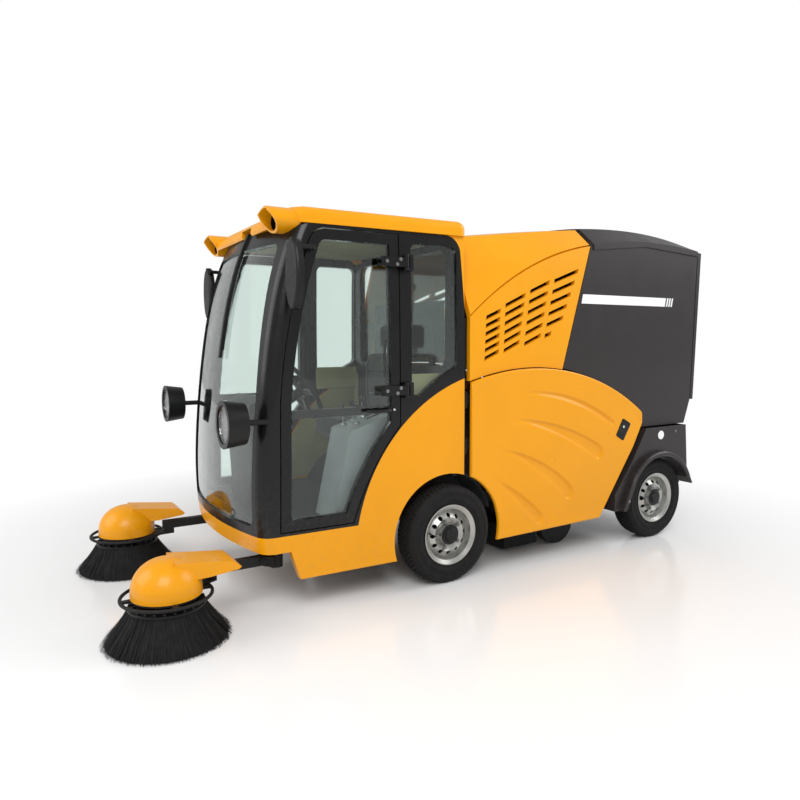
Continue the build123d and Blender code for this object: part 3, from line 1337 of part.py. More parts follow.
def hopper_sketch(inset):
    """Hopper outline (X, Z), drawn in by inset."""
    with BuildSketch(Plane.XY) as outline:
        with BuildLine():
            rear_arc_end = (HOPPER_FRONT_LOW_X, DOOR_ARC[2][1])
            Polyline(HOPPER_FRONT_TOP, (HOPPER_FRONT_TOP_X, SEAM_ARC[2][1]), HOPPER_FRONT_LOW)
            ThreePointArc(HOPPER_FRONT_LOW, (-1050, door_edge_z(-1050)), rear_arc_end)
            Polyline(
                rear_arc_end,
                (HOPPER_FRONT_LOW_X, HOPPER_LOW_Z),
                HOPPER_FLOOR_REAR,
                HOPPER_REAR_LOW,
                HOPPER_REAR_TOP,
                HOPPER_FRONT_TOP,
            )
        make_face()
        if inset:
            offset(amount=-inset, mode=Mode.REPLACE)
    return outline.sketch


hopper_profile = side_sketch(hopper_sketch(0))
hopper_cavity = side_sketch(hopper_sketch(HOPPER_WALL))

with BuildPart() as hopper_core:
    add(body_hopper_inner)
    extrude(hopper_cavity, amount=2 * SIDE_CUT, mode=Mode.INTERSECT)
with BuildPart() as hopper_mouth:
    add(body_hopper_inner)
    with BuildSketch(side_plane(SIDE_CUT)):
        with Locations((MOUTH_X, MOUTH_LOW_Z)):
            Rectangle(200, MOUTH_TOP_Z - MOUTH_LOW_Z, align=(Align.MAX, Align.MIN))
    extrude(amount=2 * SIDE_CUT, mode=Mode.INTERSECT)

with BuildPart() as hopper_lid:
    # raised cover over the roof, its lip along the shoulders
    add(body_envelope(-LID_RISE))
    add(body_outer, mode=Mode.SUBTRACT)
    with BuildSketch(side_plane(SIDE_CUT)):
        with BuildLine():
            Polyline(*LID_LINE, (LID_LINE[2][0], 2200), (LID_LINE[0][0], 2200), close=True)
        make_face()
    extrude(amount=2 * SIDE_CUT, mode=Mode.INTERSECT)

with BuildPart() as hopper_fittings:
    # lug and pin in the hinge stand
    with BuildSketch(side_plane(LUG_Y + HINGE_PLATE / 2)):
        with Locations((HINGE_X, HINGE_Z)):
            Circle(HINGE_BOSS - 2)
        with BuildLine():
            Polyline(
                (HINGE_X - HINGE_BOSS + 2, HINGE_Z),
                (HINGE_X + HINGE_BOSS - 2, HINGE_Z),
                (HINGE_X + 2 * HINGE_BOSS, FITTING_TOP_Z),
                (HINGE_X + 12, FITTING_TOP_Z),
                close=True,
            )
        make_face()
    extrude(amount=HINGE_PLATE)
    with BuildSketch(side_plane(RAIL_Y + HINGE_PLATE / 2 + 6)):
        with Locations((HINGE_X, HINGE_Z)):
            Circle(PIN_RADIUS)
    extrude(amount=HINGE_PLATE + 8)
    # ears for the tipping cylinder's rod
    for ear in (-1, 1):
        with BuildSketch(side_plane(CYLINDER_Y + ear * (CLEVIS_GAP + CLEVIS_EAR) / 2 + CLEVIS_EAR / 2)):
            with Locations(CYLINDER_EYE):
                Circle(EAR_RADIUS - 4)
                eye_drop = FITTING_TOP_Z - CYLINDER_EYE[1]
                Rectangle(2 * EAR_RADIUS - 8, eye_drop, align=(Align.CENTER, Align.MIN))
        extrude(amount=CLEVIS_EAR)
    # ears and pin of the tailgate's hinge on the roof's edge
    hinge_x, hinge_z = TAILGATE_HINGE
    for ear in (-1, 1):
        with BuildSketch(side_plane(TAILGATE_HINGE_Y + ear * 30 + TAILGATE_EAR / 2)):
            with BuildLine():
                Polyline(
                    (hinge_x + 50, ROOF_FOOT_Z),
                    (hinge_x + 9, ROOF_FOOT_Z),
                    (hinge_x + 9, hinge_z - 8),
                    (hinge_x, hinge_z + 14),
                    close=True,
                )
            make_face()
            with Locations(TAILGATE_HINGE):
                Circle(2 * TAILGATE_PIN_RADIUS)
        extrude(amount=TAILGATE_EAR)
    with BuildSketch(side_plane(TAILGATE_HINGE_Y + 30 + TAILGATE_EAR / 2)):
        with Locations(TAILGATE_HINGE):
            Circle(TAILGATE_PIN_RADIUS)
    extrude(amount=60 + TAILGATE_EAR)

with BuildPart() as hopper:
    add(body_outer)
    extrude(hopper_profile, amount=2 * SIDE_CUT, mode=Mode.INTERSECT)
    add(hopper_lid.part)
    add(hopper_core.part, mode=Mode.SUBTRACT)
    add(hopper_mouth.part, mode=Mode.SUBTRACT)
    add(hopper_fittings.part)
    add(mirror(hopper_fittings.part, about=Plane.XZ, mode=Mode.PRIVATE))
keep(hopper.part, "hopper")

# ---------------------------------------------------------------- tailgate
TAILGATE_LOW_Z = 935.0
TAILGATE_LOW_X = -1896.0 - MOVING_GAP - 2
TAILGATE_TOP_X = HOPPER_REAR_TOP[0] - MOVING_GAP - 1
TAILGATE_FIELDS = ((1010.0, 1420.0), (1470.0, 1880.0))
FIELD_Y = 530.0
FIELD_DEPTH = 10.0
FIELD_CORNER = 30.0
outer_slope = (HOPPER_REAR_X - TAILGATE_LOW_X + TAILGATE_THICKNESS - 8) / (1975.0 - TAILGATE_LOW_Z)


def tailgate_x(z):
    """X of the tailgate's outer face at height z."""
    return TAILGATE_LOW_X - TAILGATE_THICKNESS + 8 + outer_slope * (z - TAILGATE_LOW_Z)


with BuildPart() as hopper_door:
    add(body_outer)
    with BuildSketch(side_plane(SIDE_CUT)):
        with BuildLine():
            Polyline(
                (TAILGATE_LOW_X, TAILGATE_LOW_Z),
                (tailgate_x(TAILGATE_LOW_Z), TAILGATE_LOW_Z),
                (HOPPER_REAR_X, 1975),
                (HOPPER_REAR_X, 2200),
                (TAILGATE_TOP_X, 2200),
                close=True,
            )
        make_face()
    extrude(amount=2 * SIDE_CUT, mode=Mode.INTERSECT)
    # two pressed fields in the outer face
    with BuildSketch(side_plane(FIELD_Y)):
        for low_z, high_z in TAILGATE_FIELDS:
            with BuildLine():
                Polyline(
                    (tailgate_x(low_z) + FIELD_DEPTH, low_z),
                    (tailgate_x(high_z) + FIELD_DEPTH, high_z),
                    (tailgate_x(high_z) - FIELD_CORNER, high_z + FIELD_CORNER),
                    (tailgate_x(low_z) - FIELD_CORNER, low_z - FIELD_CORNER),
                    close=True,
                )
            make_face()
    extrude(amount=2 * FIELD_Y, mode=Mode.SUBTRACT)
    # lugs turning on the hinge pins
    for side in (-1, 1):
        with BuildSketch(side_plane(side * TAILGATE_HINGE_Y + TAILGATE_LUG / 2)):
            with Locations(TAILGATE_HINGE):
                Circle(2 * TAILGATE_PIN_RADIUS)
            with BuildLine():
                Polyline(
                    (hinge_x - 6, hinge_z + 12),
                    (hinge_x - 26, hinge_z - 10),
                    (hinge_x - 26, 1970),
                    (hinge_x - 8, 1970),
                    (hinge_x - 6, hinge_z - 12),
                    close=True,
                )
            make_face()
            with Locations(TAILGATE_HINGE):
                Circle(TAILGATE_PIN_RADIUS + SEAT_CLEARANCE, mode=Mode.SUBTRACT)
        extrude(amount=TAILGATE_LUG)
keep(hopper_door.part, "hopper_door")

# ---------------------------------------------------------------- tipping cylinders
BARREL_RADIUS = 34.0
BARREL_START = 45.0
BARREL_LENGTH = 400.0
ROD_RADIUS = 17.0
ROD_START = 62.0
EYE_WIDTH = 34.0
cylinder_run = Vector(CYLINDER_EYE[0] - CYLINDER_FOOT[0], 0, CYLINDER_EYE[1] - CYLINDER_FOOT[1])


def cylinder_plane(y, distance):
    """Plane square to a tipping cylinder, at a distance from its foot pin."""
    along = cylinder_run.normalized()
    foot = Vector(CYLINDER_FOOT[0], y, CYLINDER_FOOT[1])
    return Plane(origin=foot + along * distance, x_dir=(0, 1, 0), z_dir=along)


with BuildPart() as tilt_barrels:
    for y in (-CYLINDER_Y, CYLINDER_Y):
        with BuildSketch(side_plane(y + EYE_WIDTH / 2)):
            with Locations(CYLINDER_FOOT):
                Circle(EAR_RADIUS - 3)
                Circle(PIN_RADIUS + SEAT_CLEARANCE, mode=Mode.SUBTRACT)
        extrude(amount=EYE_WIDTH)
        with BuildSketch(cylinder_plane(y, EAR_RADIUS - 6)):
            Circle(ROD_RADIUS - 1)
        extrude(amount=EAR_RADIUS)
        with BuildSketch(cylinder_plane(y, BARREL_START)):
            Circle(BARREL_RADIUS)
        extrude(amount=BARREL_LENGTH)
        with BuildSketch(cylinder_plane(y, ROD_START - 2)):
            Circle(ROD_RADIUS + SEAT_CLEARANCE)
        extrude(amount=BARREL_LENGTH, mode=Mode.SUBTRACT)
keep(tilt_barrels.part, "tilt_barrels")

with BuildPart() as tilt_rods:
    for y in (-CYLINDER_Y, CYLINDER_Y):
        with BuildSketch(cylinder_plane(y, ROD_START)):
            Circle(ROD_RADIUS)
        extrude(amount=cylinder_run.length - ROD_START - PIN_RADIUS - 1)
        with BuildSketch(side_plane(y + PIN_RADIUS)):
            with Locations(CYLINDER_EYE):
                Circle(EAR_RADIUS - 6)
        extrude(amount=2 * PIN_RADIUS)
keep(tilt_rods.part, "tilt_rods")

# ---------------------------------------------------------------- rear fenders
FENDER_TOP_Z = HOPPER_LOW_Z - MOVING_GAP
LIP_Y = 735.0
LIP_WIDTH = 34.0
LIP_EDGE = 8.0
ARCH_KNEE_Z = 400.0  # below it the arch's edge runs straight
FRONT_FOOT = (-1190.0, 235.0)
REAR_FOOT = (-1835.0, 352.0)
REAR_TIP = (-1858.0, 347.0)
FENDER_REAR_LOW = (-1845.0, 376.0)
FENDER_REAR_TOP = (-1810.0, FENDER_TOP_Z)
FENDER_FRONT = ((-1400.0, FENDER_TOP_Z), (-1275.0, 561.0), (-1112.0, 345.0), (-1112.0, FRONT_FOOT[1]))
SHELF_REAR_X = -1885.0
SHELF_FRONT_X = -1840.0
SHELF_INNER_Y = 600.0


def arch_edge(radius):
    """Front knee, crown and rear knee of the wheel arch's edge at a radius."""
    spread = sqrt(radius**2 - (ARCH_KNEE_Z - AXLE_Z) ** 2)
    crown = (REAR_AXLE_X, AXLE_Z + radius)
    return (REAR_AXLE_X + spread, ARCH_KNEE_Z), crown, (REAR_AXLE_X - spread, ARCH_KNEE_Z)


def fender_sketch(inset):
    """Outline of the fender (X, Z), drawn in by inset."""
    with BuildSketch(Plane.XY) as outline:
        with BuildLine():
            knee_front, crown, knee_rear = arch_edge(REAR_ARCH_RADIUS)
            Polyline(knee_rear, REAR_FOOT, REAR_TIP, FENDER_REAR_LOW, FENDER_REAR_TOP)
            Polyline(FENDER_REAR_TOP, *FENDER_FRONT, FRONT_FOOT, knee_front)
            ThreePointArc(knee_front, crown, knee_rear)
        make_face()
        if inset:
            offset(amount=-inset, mode=Mode.REPLACE)
            # open above
            opening_length = FENDER_FRONT[0][0] - FENDER_REAR_TOP[0] - 18
            with Locations((FENDER_FRONT[0][0] - 6, FENDER_TOP_Z)):
                Rectangle(opening_length, 4 * inset, align=(Align.MAX, Align.CENTER))
    return outline.sketch


with BuildPart() as rear_fender:
    extrude(side_plane(FENDER_Y).from_local_coords(fender_sketch(0)), amount=FENDER_Y - FENDER_INNER_Y)
    extrude(
        side_plane(FENDER_Y - FENDER_WALL).from_local_coords(fender_sketch(FENDER_WALL)),
        amount=FENDER_Y - FENDER_INNER_Y - 2 * FENDER_WALL,
        mode=Mode.SUBTRACT,
    )
    # passage of the front outrigger through the inner plate
    with BuildSketch(side_plane(FENDER_INNER_Y + 2 * FENDER_WALL)):
        with Locations((OUTRIGGERS[1].x, (RAIL_LOW_Z + RAIL_TOP_Z) / 2)):
            passage = 2 * SEAT_CLEARANCE
            Rectangle(OUTRIGGERS[1].width + passage, RAIL_TOP_Z - RAIL_LOW_Z + passage)
    extrude(amount=3 * FENDER_WALL, mode=Mode.SUBTRACT)
    # shelf on the rear outrigger
    with BuildSketch(side_plane(SHELF_INNER_Y)):
        with Locations((SHELF_REAR_X, RAIL_TOP_Z + SEAT_CLEARANCE)):
            Rectangle(SHELF_FRONT_X - SHELF_REAR_X, FENDER_WALL, align=Align.MIN)
    extrude(amount=SHELF_INNER_Y - FENDER_INNER_Y)
    # flared lip round the arch
    with BuildSketch(side_plane(LIP_Y)):
        with BuildLine():
            inner_front, inner_crown, inner_rear = arch_edge(REAR_ARCH_RADIUS)
            outer_front, outer_crown, outer_rear = arch_edge(REAR_ARCH_RADIUS + LIP_WIDTH)
            ThreePointArc(inner_front, inner_crown, inner_rear)
            Polyline(inner_rear, REAR_FOOT, REAR_TIP, outer_rear)
            ThreePointArc(outer_rear, outer_crown, outer_front)
            Polyline(outer_front, (FRONT_FOOT[0] + LIP_WIDTH, FRONT_FOOT[1]), FRONT_FOOT, inner_front)
        make_face()
    extrude(amount=LIP_Y - FENDER_Y + FENDER_WALL)
    chamfer(rear_fender.edges().group_by(Axis.Y)[-1], length=LIP_EDGE)
with BuildPart() as rear_fenders:
    add(rear_fender.part)
    add(mirror(rear_fender.part, about=Plane.XZ, mode=Mode.PRIVATE))
keep(rear_fenders.part, "rear_fenders")

# ---------------------------------------------------------------- rear valance and tail lamps
VALANCE_THICKNESS = 12.0
VALANCE_Y = 560.0
VALANCE_LOW_Z = 300.0
VALANCE_TOP_Z = 640.0
VALANCE_CORNER = 30.0
LAMP_PAIR_Y = 490.0
TAIL_LAMP_WIDTH = 100.0
TAIL_LAMP_HEIGHT = 150.0
TAIL_LAMP_DEPTH = 26.0
TAIL_LAMP_Z = 545.0

with BuildPart() as rear_valance:
    with BuildSketch(Plane.YZ.offset(RAIL_REAR_X - SEAT_CLEARANCE - VALANCE_THICKNESS)):
        with Locations((0, (VALANCE_LOW_Z + VALANCE_TOP_Z) / 2)):
            RectangleRounded(2 * VALANCE_Y, VALANCE_TOP_Z - VALANCE_LOW_Z, VALANCE_CORNER)
        # cut-out round the towing clevis
        with Locations((0, VALANCE_LOW_Z)):
            notch_height = RAIL_TOP_Z - VALANCE_LOW_Z + 10
            Rectangle(4 * VALANCE_CORNER, notch_height, align=(Align.CENTER, Align.MIN), mode=Mode.SUBTRACT)
    extrude(amount=VALANCE_THICKNESS)
keep(rear_valance.part, "rear_valance")

with BuildPart() as tail_lamps:
    lamp_face_x = RAIL_REAR_X - VALANCE_THICKNESS - 2 * SEAT_CLEARANCE
    with BuildSketch(Plane.YZ.offset(lamp_face_x)):
        for side in (-1, 1):
            with Locations((side * LAMP_PAIR_Y, TAIL_LAMP_Z)):
                RectangleRounded(TAIL_LAMP_WIDTH, TAIL_LAMP_HEIGHT, 12)
    extrude(amount=-TAIL_LAMP_DEPTH)
    chamfer(tail_lamps.edges().group_by(Axis.X)[0], length=5)
keep(tail_lamps.part, "tail_lamps")

# ---------------------------------------------------------------- suction nozzle
NOZZLE_X = -560.0
NOZZLE_WHEEL_X = -854.0
NOZZLE_WHEEL_RADIUS = 140.0
NOZZLE_AXLE_RADIUS = 12.0
NOZZLE_LENGTH = 280.0
NOZZLE_WIDTH = 820.0
NOZZLE_LOW_Z = 25.0
NOZZLE_HEIGHT = 130.0
NOZZLE_WALL = 10.0
NOZZLE_LEAN = 12.0  # degrees the walls lean inwards
NOZZLE_ARM_Y = 330.0
NOZZLE_PLATE = 20.0
DUCT_RADIUS = 95.0
DUCT_WALL = 6.0
DUCT_TOP_Z = 1050.0
STRAP_LENGTH = 50.0

with BuildPart() as suction_nozzle:
    with BuildSketch(Plane.XY.offset(NOZZLE_LOW_Z)):
        with Locations((NOZZLE_X, 0)):
            Rectangle(NOZZLE_LENGTH, NOZZLE_WIDTH)
    extrude(amount=NOZZLE_HEIGHT, taper=NOZZLE_LEAN)
    with BuildSketch(Plane.XY.offset(NOZZLE_LOW_Z)):
        with Locations((NOZZLE_X, 0)):
            Rectangle(NOZZLE_LENGTH - 2 * NOZZLE_WALL, NOZZLE_WIDTH - 2 * NOZZLE_WALL)
    extrude(amount=NOZZLE_HEIGHT - 2 * NOZZLE_WALL, taper=NOZZLE_LEAN, mode=Mode.SUBTRACT)
    with BuildSketch(Plane.XY.offset(NOZZLE_LOW_Z)):
        with Locations((NOZZLE_X, 0)):
            Circle(DUCT_RADIUS - DUCT_WALL)
    extrude(amount=2 * NOZZLE_HEIGHT, mode=Mode.SUBTRACT)
    # duct up to the hopper
    with BuildSketch(Plane.XY.offset(NOZZLE_LOW_Z + NOZZLE_HEIGHT + SEAT_CLEARANCE)):
        with Locations((NOZZLE_X, 0)):
            Circle(DUCT_RADIUS)
            Circle(DUCT_RADIUS - DUCT_WALL, mode=Mode.SUBTRACT)
    extrude(amount=DUCT_TOP_Z - NOZZLE_LOW_Z - NOZZLE_HEIGHT - SEAT_CLEARANCE)
    # trailing arms to the wheels' axle, and straps up to the rails
    for side in (-1, 1):
        with BuildSketch(side_plane(side * NOZZLE_ARM_Y + NOZZLE_PLATE / 2)):
            with BuildLine():
                Polyline(
                    (NOZZLE_X - 110, 60),
                    (NOZZLE_X - 110, 130),
                    (NOZZLE_WHEEL_X, NOZZLE_WHEEL_RADIUS + 22),
                    (NOZZLE_WHEEL_X - 22, NOZZLE_WHEEL_RADIUS),
                    (NOZZLE_WHEEL_X, NOZZLE_WHEEL_RADIUS - 22),
                    close=True,
                )
            make_face()
            with Locations((NOZZLE_WHEEL_X, NOZZLE_WHEEL_RADIUS)):
                Circle(NOZZLE_AXLE_RADIUS + SEAT_CLEARANCE, mode=Mode.SUBTRACT)
        extrude(amount=NOZZLE_PLATE)
        with BuildSketch(side_plane(side * RAIL_Y + NOZZLE_PLATE / 2)):
            strap_foot_z = NOZZLE_LOW_Z + NOZZLE_HEIGHT - 2 * NOZZLE_WALL
            with Locations((NOZZLE_X, strap_foot_z)):
                strap_height = RAIL_LOW_Z - SEAT_CLEARANCE - strap_foot_z
                Rectangle(STRAP_LENGTH, strap_height, align=(Align.CENTER, Align.MIN))
        extrude(amount=NOZZLE_PLATE)
keep(suction_nozzle.part, "suction_nozzle")

with BuildPart() as nozzle_wheels:
    with BuildSketch(side_plane(425)):
        with Locations((NOZZLE_WHEEL_X, NOZZLE_WHEEL_RADIUS)):
            Circle(NOZZLE_AXLE_RADIUS)
    extrude(amount=850)
    for side in (-1, 1):
        with BuildSketch(side_plane(side * 400 + 30)):
            with Locations((NOZZLE_WHEEL_X, NOZZLE_WHEEL_RADIUS)):
                Circle(NOZZLE_WHEEL_RADIUS)
        extrude(amount=60)
keep(nozzle_wheels.part, "nozzle_wheels")

# ---------------------------------------------------------------- brush gear
MOUNT_Y = 470.0
MOUNT_TOP_Z = RAIL_LOW_Z - SEAT_CLEARANCE
MOUNT_LOW_Z = 270.0
MOUNT_WIDTH = 60.0
SWING_PIN_RADIUS = 16.0
SWING_PIN_LOW_Z = 200.0
LIFT_PIN_RADIUS = 12.0
ARM_WIDTH = 44.0
ARM_HEIGHT = 46.0
ARM_LENGTH = 300.0
BRACKET_LOW_Z = 206.0
BRACKET_EAR = 12.0
BRACKET_BOSS = 24.0
PLATE_LOW_Z = 196.0
PLATE_RADIUS = 150.0
DECK_LOW_Z = 207.0
SPOKE_WIDTH = 26.0
GUARD_TUBE = 8.0
MOTOR_RADIUS = 60.0
MOTOR_LOW_Z = 172.0
SPINDLE_RADIUS = 15.0
BRUSH_LOW_Z = 2.0

with BuildPart() as brush_mounts:
    with BuildSketch(Plane.XY.offset(MOUNT_LOW_Z)):
        with Locations((SWING_PIVOT_X, 0)):
            Rectangle(MOUNT_WIDTH, 2 * MOUNT_Y)
        for side in (-1, 1):
            with Locations((SWING_PIVOT_X, side * MOUNT_Y)):
                Circle(34)
    extrude(amount=MOUNT_TOP_Z - MOUNT_LOW_Z)
    with BuildSketch(Plane.XY.offset(SWING_PIN_LOW_Z)):
        for side in (-1, 1):
            with Locations((SWING_PIVOT_X, side * MOUNT_Y)):
                Circle(SWING_PIN_RADIUS)
    extrude(amount=MOUNT_LOW_Z - SWING_PIN_LOW_Z)
keep(brush_mounts.part, "brush_mounts")

with BuildPart() as brush_bracket:
    with BuildSketch(Plane.XY.offset(BRACKET_LOW_Z)):
        with Locations((SWING_PIVOT_X, MOUNT_Y)):
            Circle(32)
    extrude(amount=MOUNT_LOW_Z - BRACKET_LOW_Z - SEAT_CLEARANCE)
    # fork with the arm's pin
    for ear in (-1, 1):
        with BuildSketch(side_plane(MOUNT_Y + ear * (ARM_WIDTH / 2 + 1 + BRACKET_EAR / 2) + BRACKET_EAR / 2)):
            with BuildLine():
                Polyline(
                    (SWING_PIVOT_X + 22, 210),
                    (SWING_PIVOT_X + 22, 265),
                    (ARM_PIVOT_X, ARM_PIVOT_Z + BRACKET_BOSS),
                    (ARM_PIVOT_X, ARM_PIVOT_Z - BRACKET_BOSS),
                    close=True,
                )
            make_face()
            with Locations((ARM_PIVOT_X, ARM_PIVOT_Z)):
                Circle(BRACKET_BOSS)
        extrude(amount=BRACKET_EAR)
    with BuildSketch(Plane.YZ.offset(SWING_PIVOT_X + 22)):
        with Locations((MOUNT_Y, 237)):
            Rectangle(ARM_WIDTH + 2 * BRACKET_EAR + 2, 54)
    extrude(amount=14)
    with BuildSketch(side_plane(MOUNT_Y + ARM_WIDTH / 2 + BRACKET_EAR + 6)):
        with Locations((ARM_PIVOT_X, ARM_PIVOT_Z)):
            Circle(LIFT_PIN_RADIUS)
    extrude(amount=ARM_WIDTH + 2 * BRACKET_EAR + 12)
    with BuildSketch(Plane.XY.offset(BRACKET_LOW_Z)):
        with Locations((SWING_PIVOT_X, MOUNT_Y)):
            Circle(SWING_PIN_RADIUS + SEAT_CLEARANCE)
    extrude(amount=MOUNT_LOW_Z - BRACKET_LOW_Z, mode=Mode.SUBTRACT)
keep_pair(brush_bracket.part, "brush_bracket")

with BuildPart() as brush_arm:
    with BuildSketch(side_plane(MOUNT_Y + ARM_WIDTH / 2)):
        with Locations((ARM_PIVOT_X, ARM_PIVOT_Z)):
            Circle(ARM_HEIGHT / 2)
        with Locations((ARM_PIVOT_X, ARM_PIVOT_Z - ARM_HEIGHT / 2)):
            Rectangle(ARM_LENGTH, ARM_HEIGHT, align=Align.MIN)
        with Locations((ARM_PIVOT_X, ARM_PIVOT_Z)):
            Circle(LIFT_PIN_RADIUS + SEAT_CLEARANCE, mode=Mode.SUBTRACT)
    extrude(amount=ARM_WIDTH)
    # plate under the deck, with spokes out to the guard ring
    with BuildSketch(Plane.XY.offset(PLATE_LOW_Z)):
        with Locations((BRUSH_X, BRUSH_Y)):
            Circle(PLATE_RADIUS)
            Rectangle(2 * GUARD_RADIUS, SPOKE_WIDTH)
            Rectangle(SPOKE_WIDTH, 2 * GUARD_RADIUS)
        with BuildLine():
            Polyline(
                (ARM_PIVOT_X + 240, MOUNT_Y - ARM_WIDTH / 2),
                (BRUSH_X, BRUSH_Y - 140),
                (BRUSH_X, BRUSH_Y + 60),
                (ARM_PIVOT_X + 240, MOUNT_Y + ARM_WIDTH / 2),
                close=True,
            )
        make_face()
    extrude(amount=DECK_LOW_Z - PLATE_LOW_Z - SEAT_CLEARANCE)
    with BuildSketch(Plane.XY.offset(PLATE_LOW_Z)):
        with Locations((ARM_PIVOT_X + ARM_LENGTH - 35, MOUNT_Y)):
            Rectangle(50, ARM_WIDTH)
    extrude(amount=ARM_PIVOT_Z - PLATE_LOW_Z)
    with Locations((BRUSH_X, BRUSH_Y, PLATE_LOW_Z + GUARD_TUBE / 2)):
        Torus(GUARD_RADIUS, GUARD_TUBE)
    # motor and its bore for the brush's spindle
    with BuildSketch(Plane.XY.offset(MOTOR_LOW_Z)):
        with Locations((BRUSH_X, BRUSH_Y)):
            Circle(MOTOR_RADIUS)
    extrude(amount=PLATE_LOW_Z - MOTOR_LOW_Z)
    with BuildSketch(Plane.XY.offset(MOTOR_LOW_Z)):
        with Locations((BRUSH_X, BRUSH_Y)):
            Circle(SPINDLE_RADIUS + SEAT_CLEARANCE)
    extrude(amount=DECK_LOW_Z - MOTOR_LOW_Z, mode=Mode.SUBTRACT)
keep_pair(brush_arm.part, "brush_arm")

DECK_RADIUS = 158.0
DECK_TOP_Z = 372.0
DECK_WALL = 6.0
SPINE_HALF_WIDTH = 95.0


def deck_dome(inset):
    """Domed cover over the brush motor, drawn in by inset."""
    radius = DECK_RADIUS - inset
    top_z = DECK_TOP_Z - inset
    with BuildPart() as dome:
        with BuildSketch(side_plane(BRUSH_Y)):
            with BuildLine():
                Polyline((BRUSH_X, top_z), (BRUSH_X, DECK_LOW_Z), (BRUSH_X + radius, DECK_LOW_Z))
                Line((BRUSH_X + radius, DECK_LOW_Z), (BRUSH_X + radius - 3, DECK_LOW_Z + 50))
                ThreePointArc(
                    (BRUSH_X + radius - 3, DECK_LOW_Z + 50),
                    (BRUSH_X + radius - 52, top_z - 32),
                    (BRUSH_X + 20, top_z),
                )
                Line((BRUSH_X + 20, top_z), (BRUSH_X, top_z))
            make_face()
        revolve(axis=Axis((BRUSH_X, BRUSH_Y, 0), (0, 0, 1)))
    return dome.part


def deck_spine(inset):
    """Cover running back from the dome over the arm, drawn in by inset."""
    with BuildPart() as spine:
        with BuildSketch(side_plane(BRUSH_Y + SPINE_HALF_WIDTH - inset)):
            with BuildLine():
                Polyline(
                    (BRUSH_X - 20, DECK_LOW_Z + 71),
                    (1512, DECK_LOW_Z + 71),
                    (1372 + inset, 292),
                    (1357 + inset, 302),
                    (1395 + inset, 335 - inset),
                    (1640, DECK_TOP_Z - 8 - inset),
                    (BRUSH_X - 20, DECK_TOP_Z - 6 - inset),
                    close=True,
                )
            make_face()
        extrude(amount=2 * (SPINE_HALF_WIDTH - inset))
    return spine.part


with BuildPart() as brush_deck:
    add(deck_dome(0))
    add(deck_spine(0))
    add(deck_dome(DECK_WALL), mode=Mode.SUBTRACT)
keep_pair(brush_deck.part, "brush_deck")

BRUSH_PLATE_Z = 168.0
BRUSH_PLATE_RADIUS = 170.0
BRUSH_EDGE_Z = 155.0
CROWN_LOW_Z = 150.0

with BuildPart() as brush:
    with BuildSketch(side_plane(BRUSH_Y)):
        with BuildLine():
            Polyline(
                (BRUSH_X, CROWN_LOW_Z),
                (BRUSH_X + 110, CROWN_LOW_Z),
                (BRUSH_X + 215, BRUSH_LOW_Z),
                (BRUSH_X + BRUSH_TIP_RADIUS, BRUSH_LOW_Z),
                (BRUSH_X + BRUSH_PLATE_RADIUS, BRUSH_EDGE_Z),
                (BRUSH_X + BRUSH_PLATE_RADIUS, BRUSH_PLATE_Z),
                (BRUSH_X + SPINDLE_RADIUS, BRUSH_PLATE_Z),
                (BRUSH_X + SPINDLE_RADIUS, BRUSH_PLATE_Z + 32),
                (BRUSH_X, BRUSH_PLATE_Z + 32),
                close=True,
            )
        make_face()
    revolve(axis=Axis((BRUSH_X, BRUSH_Y, 0), (0, 0, 1)))
keep_pair(brush.part, "brush")

# ---------------------------------------------------------------- windscreen wiper
WIPER_Y = 120.0
WIPER_WIDTH = 22.0
WIPER_LOW_Z = 1260.0
WIPER_STANDOFF = 14.0

with BuildPart() as wiper:
    with BuildSketch(Plane.YZ.offset(900)):
        with Locations((WIPER_Y, WIPER_LOW_Z)):
            Rectangle(WIPER_WIDTH, DOOR_TOP_Z - SEAT_CLEARANCE - WIPER_LOW_Z, align=(Align.CENTER, Align.MIN))
    extrude(amount=600)
    add(cab_envelope(-WIPER_STANDOFF), mode=Mode.INTERSECT)
    add(cab_outer, mode=Mode.SUBTRACT)
keep(wiper.part, "wiper")
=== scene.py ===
from cmath import phase, rect
from math import copysign, cos, dist, exp, pi, radians, sin, sqrt
import json
import random

import bmesh
import bpy
import numpy as np
from mathutils import Matrix, Vector
from mathutils.bvhtree import BVHTree
from mathutils.geometry import delaunay_2d_cdt


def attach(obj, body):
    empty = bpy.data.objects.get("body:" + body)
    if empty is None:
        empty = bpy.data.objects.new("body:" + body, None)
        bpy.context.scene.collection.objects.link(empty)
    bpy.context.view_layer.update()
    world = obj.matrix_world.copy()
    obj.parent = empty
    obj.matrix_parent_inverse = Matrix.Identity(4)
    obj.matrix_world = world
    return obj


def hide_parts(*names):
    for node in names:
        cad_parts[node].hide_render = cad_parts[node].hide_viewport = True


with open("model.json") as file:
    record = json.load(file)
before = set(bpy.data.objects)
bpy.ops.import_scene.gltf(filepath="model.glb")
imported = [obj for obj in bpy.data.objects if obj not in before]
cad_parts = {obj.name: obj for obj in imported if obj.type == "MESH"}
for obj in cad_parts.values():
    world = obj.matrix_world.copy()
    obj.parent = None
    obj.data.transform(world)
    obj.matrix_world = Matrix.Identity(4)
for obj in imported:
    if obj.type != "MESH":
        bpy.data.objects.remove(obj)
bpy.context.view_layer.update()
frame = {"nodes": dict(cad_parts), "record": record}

# Compact road sweeper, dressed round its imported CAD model. Metres, +X forward, +Y left, +Z up.

SIDES = (("left", 1), ("right", -1))

